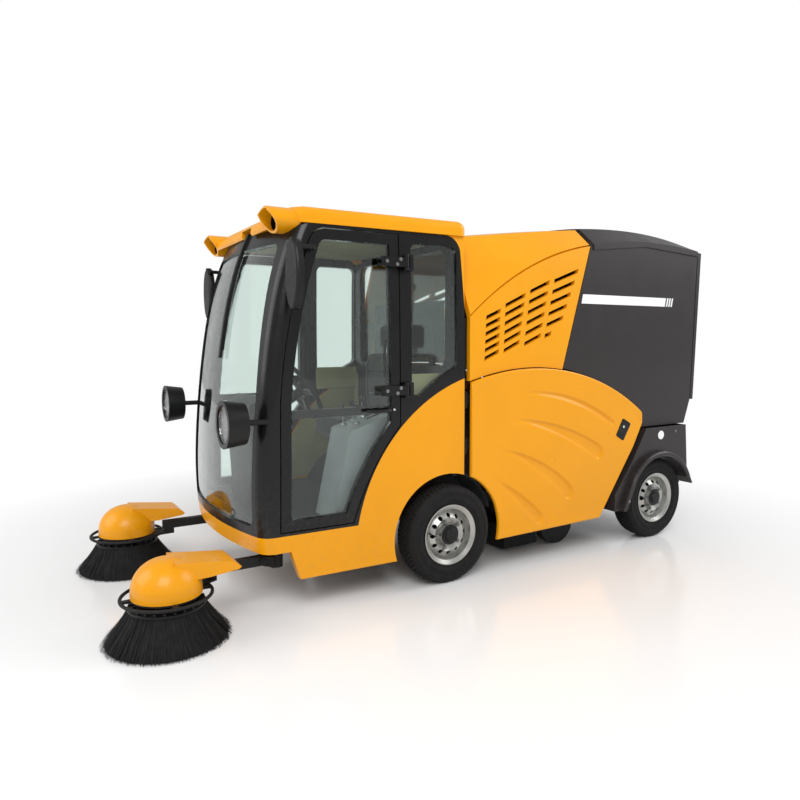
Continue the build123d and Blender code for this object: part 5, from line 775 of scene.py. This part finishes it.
def scoop_depths(points):
    """How far the skin is pressed in at each point."""
    depth = np.zeros(len(points))
    for start, upper, rear_top, rear_end, rear_low, lower in SCOOPS:
        upper_line = arc(start, upper, rear_top, 40)
        rear_line = arc(rear_top, rear_end, rear_low, 12)
        lower_line = arc(rear_low, lower, start, 40)
        within = inside(points, upper_line + rear_line[1:] + lower_line[1:-1])
        along = (start[0] - points[:, 0]) / (start[0] - rear_end[0])
        shape = ease(gap_to(points, upper_line) / 0.017) * ease(gap_to(points, lower_line) / 0.05)
        shape *= ease(gap_to(points, rear_line) / 0.024) * ease(along / 0.45)
        depth = np.maximum(depth, np.where(within, shape * SCOOP_DEPTH * 1.35, 0))
    return np.minimum(depth, SCOOP_DEPTH)


def side_door(hand, side):
    """Pressed skin with soft scoops, rolled rim, hinges, latch, lock and catches."""
    outline = side_door_outline()
    edge = inset(outline, DOOR_ROLL)
    xs = np.arange(-1.38, 0.04, DOOR_GRID)
    zs = np.arange(0.19, 1.18, DOOR_GRID * 0.866)
    grid = np.array([(x + (row % 2) * DOOR_GRID / 2, z) for row, z in enumerate(zs) for x in xs])
    grid = grid[inside(grid, inset(outline, DOOR_ROLL + DOOR_GRID * 0.6))]
    points = [Vector(point) for point in edge] + [Vector(point) for point in grid]
    made, _, faces, *_ = delaunay_2d_cdt(points, [], [list(range(len(edge)))], 1, 1e-6)
    plan = np.array([tuple(point) for point in made])
    crown = 0.0022 * ((plan[:, 1] - 0.68) / 0.48) ** 2 + 0.0022 * ((plan[:, 0] + 0.65) / 0.72) ** 2
    away = ease(gap_to(plan, edge + edge[:1]) / 0.05)
    outer = SIDE_DOOR_Y - crown * away - scoop_depths(plan)
    skin = Shape().add([(x, side * y, z) for (x, z), y in zip(plan, outer)], [tuple(face) for face in faces])
    rings = []
    for step in range(5):
        turn = pi / 2 * step / 4
        line = inset(outline, DOOR_ROLL * (1 - sin(turn)))
        rings.append(flat(line, side * (SIDE_DOOR_Y - DOOR_ROLL * (1 - cos(turn)))))
    rim = inset(outline, 0.034)
    inner_y = side * (SIDE_DOOR_Y - SIDE_DOOR_THICKNESS)
    back_y = side * SIDE_DOOR_BACK_Y
    skin.rings(rings + [flat(outline, inner_y), flat(rim, inner_y), flat(rim, back_y)], caps=False)
    back, _, back_faces, *_ = delaunay_2d_cdt([Vector(p) for p in rim], [], [list(range(len(rim)))], 1, 1e-6)
    skin.add(flat(back, back_y), [tuple(face) for face in back_faces])
    item = skin.linked(f"side_door_skin_{hand}")
    edited(item.data, lambda work: bmesh.ops.remove_doubles(work, verts=work.verts, dist=1e-5))
    body = f"bay_door_{hand}"
    finish_piece(item, body, "yellow", angle=50, stands_for=(f"side_door_{hand}",))

    hinges = Shape()
    knuckle = [(0.0045, -0.032), (0.009, -0.032), (0.009, 0.032), (0.0045, 0.032)]
    for level in (0.76, 1.02):
        hinges.lathe(knuckle, (0.057, side * 0.64, level), "Z", 24, loop=True)
        hinges.block((0.036, side * 0.638, level), (0.04, 0.01, 0.062), soften=0.0015)
        hinges.block((0.02, side * 0.6445, level), (0.023, 0.024, 0.062), soften=0.0015)
    hinges.piece(f"side_door_hinges_{hand}", body, "yellow", "chassis_black", bevel=0.0006)

    plate = rounded(LATCH, 0.012)
    latch = Shape().rings([
        flat(line, side * y) for line, y in (
            (plate, 0.672), (plate, 0.68), (inset(plate, 0.002), 0.6808),
            (inset(plate, 0.01), 0.6808), (inset(plate, 0.012), 0.679),
        )
    ])
    centre = at(-1.189, 0, 0.77)
    spin = Matrix.Rotation(radians(-28.5), 3, "Y")
    latch.block(centre + at(0.004, side * 0.6785, 0.006), (0.05, 0.006, 0.078), spin, 0.002)
    latch.piece(f"side_door_latch_{hand}", body, "yellow", "black_plastic", bevel=0.0008)
    inner, middle, outer = (centre + at(0, side * y, 0.018) for y in (0.681, 0.6832, 0.6838))
    lock = Shape().rod(inner, middle, 0.0085, 24).rod(middle, outer, 0.005, 16)
    lock.piece(f"side_door_lock_{hand}", body, "steel", "rod_chrome")
    catches = Shape()
    for x, z in ((-1.2, 0.62), (-0.3, 1.09), (-0.9, 1.06)):
        catches.block((x, side * 0.66, z), (0.05, 0.008, 0.03), soften=0.002)
    catches.piece(f"side_door_catches_{hand}", body, "yellow", "rubber", bevel=0.001)


for hand, side in SIDES:
    side_door(hand, side)

# ---- trim laid on the CAD surfaces
FILM_OUTER = 0.0012
FILM_INNER = 0.00012


def decal(name, tree, grid, side):
    """Thin white film laid on the hopper's side, from rows of (X, Z) points."""
    rings = []
    for row in grid:
        laid = [hit_side(tree, side, x, z) for x, z in row]
        outer = [point + at(0, side * FILM_OUTER, 0) for point in laid]
        inner = [point + at(0, side * FILM_INNER, 0) for point in laid]
        rings.append(outer + inner[::-1])
    return Shape().rings(rings).piece(name, "hopper_body", "graphite", "white", angle=30)


def band(x_from, x_to, columns=40):
    """Rows of points of the stripe, whose ends lean."""
    low, high, lean = 1.577, 1.634, -0.012
    grid = []
    for t in (0, 1 / 3, 2 / 3, 1):
        run = [x_from + lean * t + (x_to - x_from) * c / (columns - 1) for c in range(columns)]
        grid.append([(x, low + (high - low) * t) for x in run])
    return grid


hopper_tree = node_tree("hopper")
for hand, side in SIDES:
    decal(f"hopper_stripe_{hand}", hopper_tree, band(-0.812, -1.595), side)
    for index in range(3):
        front = -1.608 - index * 0.024
        decal(f"hopper_mark_{hand}_{index}", hopper_tree, band(front, front - 0.013, columns=3), side)

fender_tree = node_tree("rear_fenders")
for hand, side in SIDES:
    spot = hit_side(fender_tree, side, -1.55, 0.708)
    profile = sided([(0.0005, 0.0016), (0.028, 0.0016), (0.0295, 0.0006), (0.0295, 0.0)], side)
    disc = Shape().lathe(profile, spot, "Y", 48)
    disc.piece(f"fender_disc_{hand}", "chassis", "graphite", "white", angle=30)
    spots = ((-1.2, 0.3), (-1.7, 0.725))
    rivets = Shape().bolts(fender_tree, flat(spots, side * OUTSIDE_Y), (0, -side, 0), 0.006, 0.005)
    rivets.piece(f"fender_bolts_{hand}", "chassis", "graphite", "steel")


# ---- mirrors
for hand, side in SIDES:
    oval = [(0.0675 * cos(angle), 0.153 * sin(angle)) for angle in turns(64)]
    shape = Shape().rings([
        [(MIRROR_X + x, side * MIRROR_Y + y * across, MIRROR_Z + z * up) for y, z in oval]
        for x, across, up in ((0.0049, 1, 1), (0.002, 1, 1), (0.0012, 0.985, 0.993))
    ])
    shape.piece(f"mirror_glass_{hand}", f"cab_door_{hand}", "black_plastic", "mirror", angle=25)
    clamp = Shape()
    clamp.rod((1.105, side * 0.735, 1.8), (1.105, side * 0.735, 1.818), 0.017, 24)
    clamp.rod((1.105, side * 0.69, 1.79), (1.105, side * 0.702, 1.79), 0.016, 24)
    clamp.bolt((1.105, side * 0.748, 1.79), (0, side, 0), 0.006, 0.006)
    clamp.piece(f"mirror_clamp_{hand}", f"cab_door_{hand}", "black_plastic", bevel=0.0008)


# ---- head lamps
for hand, side in SIDES:
    centre = (0, side * LAMP_Y, LAMP_Z)
    profile = [
        (0.012, 1.345), (0.03, 1.347), (0.055, 1.358), (0.074, 1.376), (0.085, 1.3965), (0.0872, 1.3965),
        (0.0872, 1.392), (0.076, 1.372), (0.055, 1.352), (0.03, 1.341), (0.012, 1.339),
    ]
    Shape().lathe(profile, centre, "X", 64, loop=True).piece(f"lamp_bowl_{hand}", "chassis", "lens", "mirror")
    profile = [
        (0.0005, 1.388), (0.005, 1.3865), (0.0085, 1.382), (0.0085, 1.352),
        (0.013, 1.35), (0.013, 1.338), (0.0005, 1.338),
    ]
    Shape().lathe(profile, centre, "X", 24).piece(f"lamp_bulb_{hand}", "chassis", "lens", "steel")
    profile = [
        (0.089, 1.4125), (0.0915, 1.416), (0.0955, 1.416), (0.0978, 1.412), (0.0978, 1.404), (0.094, 1.404),
    ]
    bezel = Shape().lathe(profile, centre, "X", 64, loop=True)
    bezel.piece(f"lamp_bezel_{hand}", "chassis", "black_plastic", angle=30)
    ribs = Shape()
    for index in range(-4, 5):
        y = index * 0.0165
        height = sqrt(max(0.078**2 - y * y, 1e-5))
        ribs.block((1.4132, side * LAMP_Y + y, LAMP_Z), (0.0016, 0.003, height * 1.9), soften=0.0005)
    ribs.piece(f"lamp_ribs_{hand}", "chassis", "lens")


# ---- tail lamps and valance bolts
TAIL_PANES = (
    (0.583, 0.052, "tail_lens", "stop"), (0.528, 0.046, "amber", "turn"), (0.487, 0.024, "white", "reverse"),
)
for hand, side in SIDES:
    middle = side * TAIL_LAMP_Y
    frame_line = rounded_box((-0.052, -0.077), (0.052, 0.077), 0.012)
    inner_line = rounded_box((-0.045, -0.07), (0.045, 0.07), 0.008)
    layers = ((frame_line, -1.9035), (frame_line, -1.925), (inner_line, -1.93), (inner_line, -1.9262))
    bezel = Shape().rings([[(x, middle + y, 0.545 + z) for y, z in line] for line, x in layers], caps=False)
    bezel.piece(f"tail_bezel_{hand}", "chassis", "tail_lens", "black_plastic", angle=30)
    for z, height, material, label in TAIL_PANES:
        line = rounded_box((-0.043, -height / 2), (0.043, height / 2), 0.004)
        pane = Shape().rings([
            [(x, middle + y * scale, z + up * scale) for y, up in line]
            for scale, x in ((1.0, -1.9285), (1.0, -1.9295), (0.95, -1.9302))
        ])
        for index in range(-5, 6):
            pane.block((-1.9302, middle + index * 0.0075, z), (0.0012, 0.002, height * 0.86))
        pane.piece(f"tail_{label}_{hand}", "chassis", "tail_lens", material, angle=30)

# ---- wiper
glass_tree = node_tree("windscreen")
wiper_blade = Shape()
blade_line = [hit(glass_tree, (2.0, 0.12, 1.3 + 0.52 * step / 24), (-1, 0, 0))[0] for step in range(25)]
for low, high, width in ((0.0012, 0.005, 0.0016), (0.005, 0.011, 0.0048)):
    section = ((low, -width), (high, -width * 0.8), (high, width * 0.8), (low, width))
    wiper_blade.rings([[place + at(x, y, 0) for x, y in section] for place in blade_line])
wiper_blade.piece("wiper_rubber", "chassis", "black_plastic", "rubber", angle=40)


# ---- cab doors: handles, seals, hinges
for hand, side in SIDES:
    body = f"cab_door_{hand}"
    frame_tree = node_tree(f"door_{hand}")
    place = hit_side(frame_tree, side, 0.54, 0.99)

    def off(x, y, z=0.0):
        return place + at(x, side * y, z)

    handle = Shape().block(off(0, 0.003), (0.05, 0.006, 0.034), soften=0.002)
    grip = ((0.012, 0.002), (0.02, 0.03), (0.04, 0.036), (0.13, 0.036), (0.142, 0.03), (0.146, 0.003))
    handle.tube([off(x, y) for x, y in grip], 0.0075, 14)
    handle.rod(off(-0.012, 0.004), off(-0.012, 0.012), 0.0095, 24)
    handle.piece(f"door_handle_{hand}", body, "black", "black_plastic", bevel=0.0008)
    profile = [(0.0066, 0.011), (0.0066, 0.0128), (0.0058, 0.0136), (0.0026, 0.0132), (0.0012, 0.0122)]
    lock = Shape().lathe(sided(profile, side), off(-0.012, 0), "Y", 20)
    lock.piece(f"door_lock_{hand}", body, "black", "rod_chrome")

    pull = (
        (0.53, 0.59, 1.12), (0.532, 0.56, 1.13), (0.532, 0.556, 1.16),
        (0.532, 0.556, 1.32), (0.532, 0.56, 1.35), (0.53, 0.59, 1.36),
    )
    inner_pull = Shape().tube([(x, side * y, z) for x, y, z in pull], 0.0085, 12)
    inner_pull.piece(f"door_pull_{hand}", body, "black", "black_plastic")

    leaf = ((0.5, 0.013), (0.52, -0.013), (0.58, 0.0))
    spots = [(x, level + lift) for level in (1.09, 1.75) for x, lift in leaf]
    bolts = Shape().bolts(frame_tree, flat(spots, side * OUTSIDE_Y), (0, -side, 0), 0.0062, 0.005)
    bolts.piece(f"door_hinge_bolts_{hand}", body, "steel", "steel")


# ---- cab lining and instruments
LINING_STEP = 0.01
LINING_LAYERS = (0.005, 0.009)

lining = Shape()
line = rounded_box((0.098, 1.02), (0.43, 1.17), 0.02)
for side in (1, -1):
    lining.rings([flat(line, side * 0.588), flat(inset(line, 0.005), side * 0.58)])
lining.piece("side_lining", "chassis", "grey_plastic", "olive", angle=30)
headliner = Shape().rings([
    loop_path((0.56, 0, level), half * 0.88, half, "XY", 0, 64, 0.28)
    for level, half in ((1.9125, 0.5), (1.902, 0.5), (1.896, 0.488))
])
headliner.piece("headliner", "chassis", "grey_plastic", "olive", angle=40)


def quarter_lining(hand, side):
    """Trim shell over the inner face of a quarter panel, where a line from the middle plane meets it."""
    tree = node_tree("quarter_panels")
    laid = {}
    for row, z in enumerate(np.arange(0.43, 1.2, LINING_STEP)):
        for column, x in enumerate(np.arange(0.11, 1.14, LINING_STEP)):
            found, normal = hit(tree, (x, side * 0.45, z), (0, side, 0))
            if found and abs(normal.y) > 0.5:
                laid[row, column] = found
    cells = [[(row, place), (row, place + 1), (row + 1, place + 1), (row + 1, place)] for row, place in laid]
    keep = [corners for corners in cells if all(corner in laid for corner in corners)]
    used = sorted({corner for corners in keep for corner in corners})
    index = {corner: number for number, corner in enumerate(used)}
    count = len(used)
    points = [laid[corner] - at(0, side * inward, 0) for inward in LINING_LAYERS for corner in used]
    faces, borders = [], {}
    for corners in keep:
        ring = [index[corner] for corner in corners]
        faces += [ring, [number + count for number in reversed(ring)]]
        for pair in zip(ring, ring[1:] + ring[:1]):
            key = tuple(sorted(pair))
            borders[key] = None if key in borders else pair
    faces += [[pair[0], pair[1], pair[1] + count, pair[0] + count] for pair in borders.values() if pair]
    Shape().add(points, faces).piece(f"quarter_lining_{hand}", "chassis", "yellow", "olive", angle=40)


for hand, side in SIDES:
    quarter_lining(hand, side)

DOWN = (0, 0, -1)
dash_tree = node_tree("dashboard")
top = hit(dash_tree, (1.000, 0.0, 1.6), DOWN)[0]
cluster = Shape().block(top + at(0.02, 0, 0.022), (0.12, 0.3, 0.046), soften=0.012)
cluster.piece("instrument_hood", "chassis", "black_plastic", bevel=0.004)
dials = Shape()
for y, radius in ((-0.085, 0.034), (0.0, 0.026), (0.085, 0.034)):
    place = top + at(-0.04, y, 0.024)
    face = place + at(-0.004, 0, 0)
    reach = radius * 0.6
    dials.rod(place, face, reach, 32)
    rim = [face + at(0, reach * cos(a), reach * sin(a)) for a in turns(32)]
    dials.tube(rim, 0.0018, 8, loop=True)
dials.piece("instrument_dials", "chassis", "black_plastic", "grey_plastic")

console_tree = node_tree("side_console")
KNOB = [(0.0005, 0.118), (0.009, 0.116), (0.0135, 0.108), (0.014, 0.1), (0.01, 0.088), (0.007, 0.084)]
levers = Shape()
knobs = Shape()
for x, y in ((0.7, 0.4), (0.64, 0.4), (0.58, 0.4), (0.66, 0.48)):
    found = hit(console_tree, (x, y, 1.5), DOWN)[0]
    levers.lathe([(0.02, 0.0), (0.019, 0.006), (0.012, 0.014), (0.0055, 0.022)], found, "Z", 24)
    levers.rod(found, found + at(0.012, 0, 0.09), 0.0045, 12)
    knobs.lathe(KNOB, found + at(0.012, 0, 0), "Z", 24)
levers.piece("console_levers", "chassis", "grey_plastic", "steel")
knobs.piece("console_knobs", "chassis", "grey_plastic", "black_plastic")
switches = Shape()
for row in range(2):
    for column in range(4):
        found, normal = hit(console_tree, (0.5 + column * 0.026, 0.4 + row * 0.06, 1.5), DOWN)
        slope = normal.to_track_quat("Z", "Y").to_matrix()
        switches.block(found + normal * 0.002, (0.018, 0.03, 0.008), slope, 0.0015)
switches.piece("console_switches", "chassis", "grey_plastic", "black_plastic", bevel=0.0006)

# ---- dark screens behind the louvres, backed by a black sheet of painted shade
for hand, side in SIDES:
    screen = Shape()
    y = side * SCREEN_Y
    for step in range(46):
        x = -0.07 - step * 0.0125
        screen.tube([(x, y, 1.235), (x, y, 1.6 + min(0.1, -x * 0.12))], 0.0016, 5)
    for step in range(38):
        z = 1.24 + step * 0.0105
        screen.tube([(-0.055, y, z), (-0.64, y, z)], 0.0016, 5)
    # Painted shade: this black back sheet stands in for the shade inside the body behind the louvre slots.
    back = [(-0.05, 1.228), (-0.65, 1.228), (-0.65, 1.66), (-0.05, 1.6)]
    screen.rings([flat(back, side * 0.6), flat(back, side * 0.597)])
    screen.piece(f"louvre_screen_and_shade_sheet_{hand}", "chassis", "yellow", "chassis_black")


# ---- fixings and fittings
AHEAD = (1, 0, 0)
spots = [(BEHIND_X, y, z) for y in (-0.53, -0.36, -0.12, 0.12, 0.36, 0.53) for z in (0.325, 0.615)]
fixings = Shape().bolts(node_tree("rear_valance"), spots, AHEAD, 0.0085, 0.006)
fixings.piece("valance_bolts", "chassis", "steel", "steel")

gate = Shape()
gate_tree = node_tree("hopper_door")
for y in (-0.47, 0.47):
    found = hit(gate_tree, (BEHIND_X, y, 1.06), AHEAD)[0]
    gate.block(found + at(-0.003, 0, 0), (0.006, 0.05, 0.07), soften=0.0015)
    for lift in (-0.022, 0.022):
        gate.bolt(found + at(-0.005, 0, lift), (-1, 0, 0), 0.005, 0.0035)
found = hit(gate_tree, (BEHIND_X, 0.0, 1.385), AHEAD)[0]
bar = ((0.002, -0.14), (-0.0052, -0.134), (-0.0055, 0.0), (-0.0052, 0.134), (0.002, 0.14))
gate.tube([found + at(x, y, 0) for x, y in bar], 0.004, 14)
gate.piece("tailgate_fittings", "tailgate", "graphite", "black_plastic", bevel=0.001)

for hand, side in SIDES:
    ring = Shape()
    for turn in turns(8, 0.2):
        place = (BRUSH_X + 0.055 * cos(turn), side * BRUSH_Y + 0.055 * sin(turn), 0.1765)
        ring.bolt(place, (0, 0, 1), 0.006, 0.007)
    ring.piece(f"brush_bolts_{hand}", f"sweep_{hand}", "bristle", "steel")


# ---- dark mouths of the roof's horns
HORN_LAYERS = ((1.0625, 0.02), (1.0625, 0.985), (1.103, 0.985), (1.103, 0.955), (1.064, 0.955), (1.064, 0.02))
for hand, side in SIDES:
    mouth = Shape().rings([
        [(x, side * HORN_Y + 0.077 * k * cos(a), HORN_Z + 0.051 * k * sin(a)) for a in turns(48)]
        for x, k in HORN_LAYERS
    ], caps=False)
    mouth.piece(f"horn_mouth_{hand}", "chassis", "yellow", "black_plastic")


# ---- stage, light, camera
CAMERA_PLACE = (2.2596, 3.6168, 1.3397)
CAMERA_FORWARD = at(-0.50987, -0.85587, -0.08677)
CAMERA_ROLL = radians(-0.124)
CAMERA_LENS = 29.757
SENSOR = 36.0
LAMP_AIM = at(0.2, 0, 0.8)
LAMP_SIZE = 4.0
WHITE_LIGHT = (1, 1, 1, 1)


def stage():
    """Pale floor that keeps the shadow, white surroundings, and three soft lamps."""
    bpy.ops.mesh.primitive_plane_add(size=60, location=(0, 0, 0))
    floor = bpy.context.object
    floor.name = "studio_floor"
    made = Shader("studio_floor", Roughness=0.16, Base_Color=srgb(243, 243, 243))
    offset = made.node("ShaderNodeVectorMath", {0: made.coords, 1: (0.0, 0.0, 0.0)}, operation="DISTANCE")
    away = made.span(offset.outputs["Value"], 0.0, 1.0, 1.9, 3.6)
    glow = made.node("ShaderNodeEmission", {"Color": WHITE_LIGHT, "Strength": 1.0})
    blend = made.node("ShaderNodeMixShader", {0: away, 1: made.surface.outputs[0], 2: glow.outputs[0]})
    made.links.new(blend.outputs[0], made.tree.nodes["Material Output"].inputs["Surface"])
    floor.data.materials.append(made.material)

    world = bpy.data.worlds.new("studio")
    bpy.context.scene.world = world
    world.use_nodes = True
    tree = world.node_tree
    light = tree.nodes["Background"]
    light.inputs["Color"].default_value = WHITE_LIGHT
    light.inputs["Strength"].default_value = 0.55
    seen = add_node(tree, "ShaderNodeBackground", {"Color": WHITE_LIGHT, "Strength": 1.0})
    path = add_node(tree, "ShaderNodeLightPath")
    rays = {0: path.outputs["Is Camera Ray"], 1: path.outputs["Is Transmission Ray"]}
    either = add_node(tree, "ShaderNodeMath", rays, operation="MAXIMUM")
    mix = add_node(tree, "ShaderNodeMixShader", {0: either.outputs[0], 1: light.outputs[0], 2: seen.outputs[0]})
    tree.links.new(mix.outputs[0], tree.nodes["World Output"].inputs["Surface"])

    for name, place, power in (
        ("key", (3.5, 5.5, 6.0), 330), ("fill", (6.0, -1.5, 3.5), 140), ("back", (-5.0, 2.5, 4.5), 170),
    ):
        lamp = bpy.data.lights.new(name, "AREA")
        lamp.size = LAMP_SIZE
        lamp.energy = power
        holder = placed(name, lamp)
        holder.location = place
        holder.rotation_euler = (LAMP_AIM - Vector(place)).to_track_quat("-Z", "Y").to_euler()


def camera():
    """The photograph's camera."""
    lens = bpy.data.cameras.new("camera")
    lens.lens = CAMERA_LENS
    lens.sensor_width = SENSOR
    holder = placed("camera", lens)
    turn = CAMERA_FORWARD.to_track_quat("-Z", "Y").to_matrix()
    turn = turn @ Matrix.Rotation(CAMERA_ROLL, 3, "Z")
    holder.matrix_world = Matrix.Translation(CAMERA_PLACE) @ turn.to_4x4()
    bpy.context.scene.camera = holder


stage()
camera()
bpy.context.scene.view_settings.view_transform = "Standard"
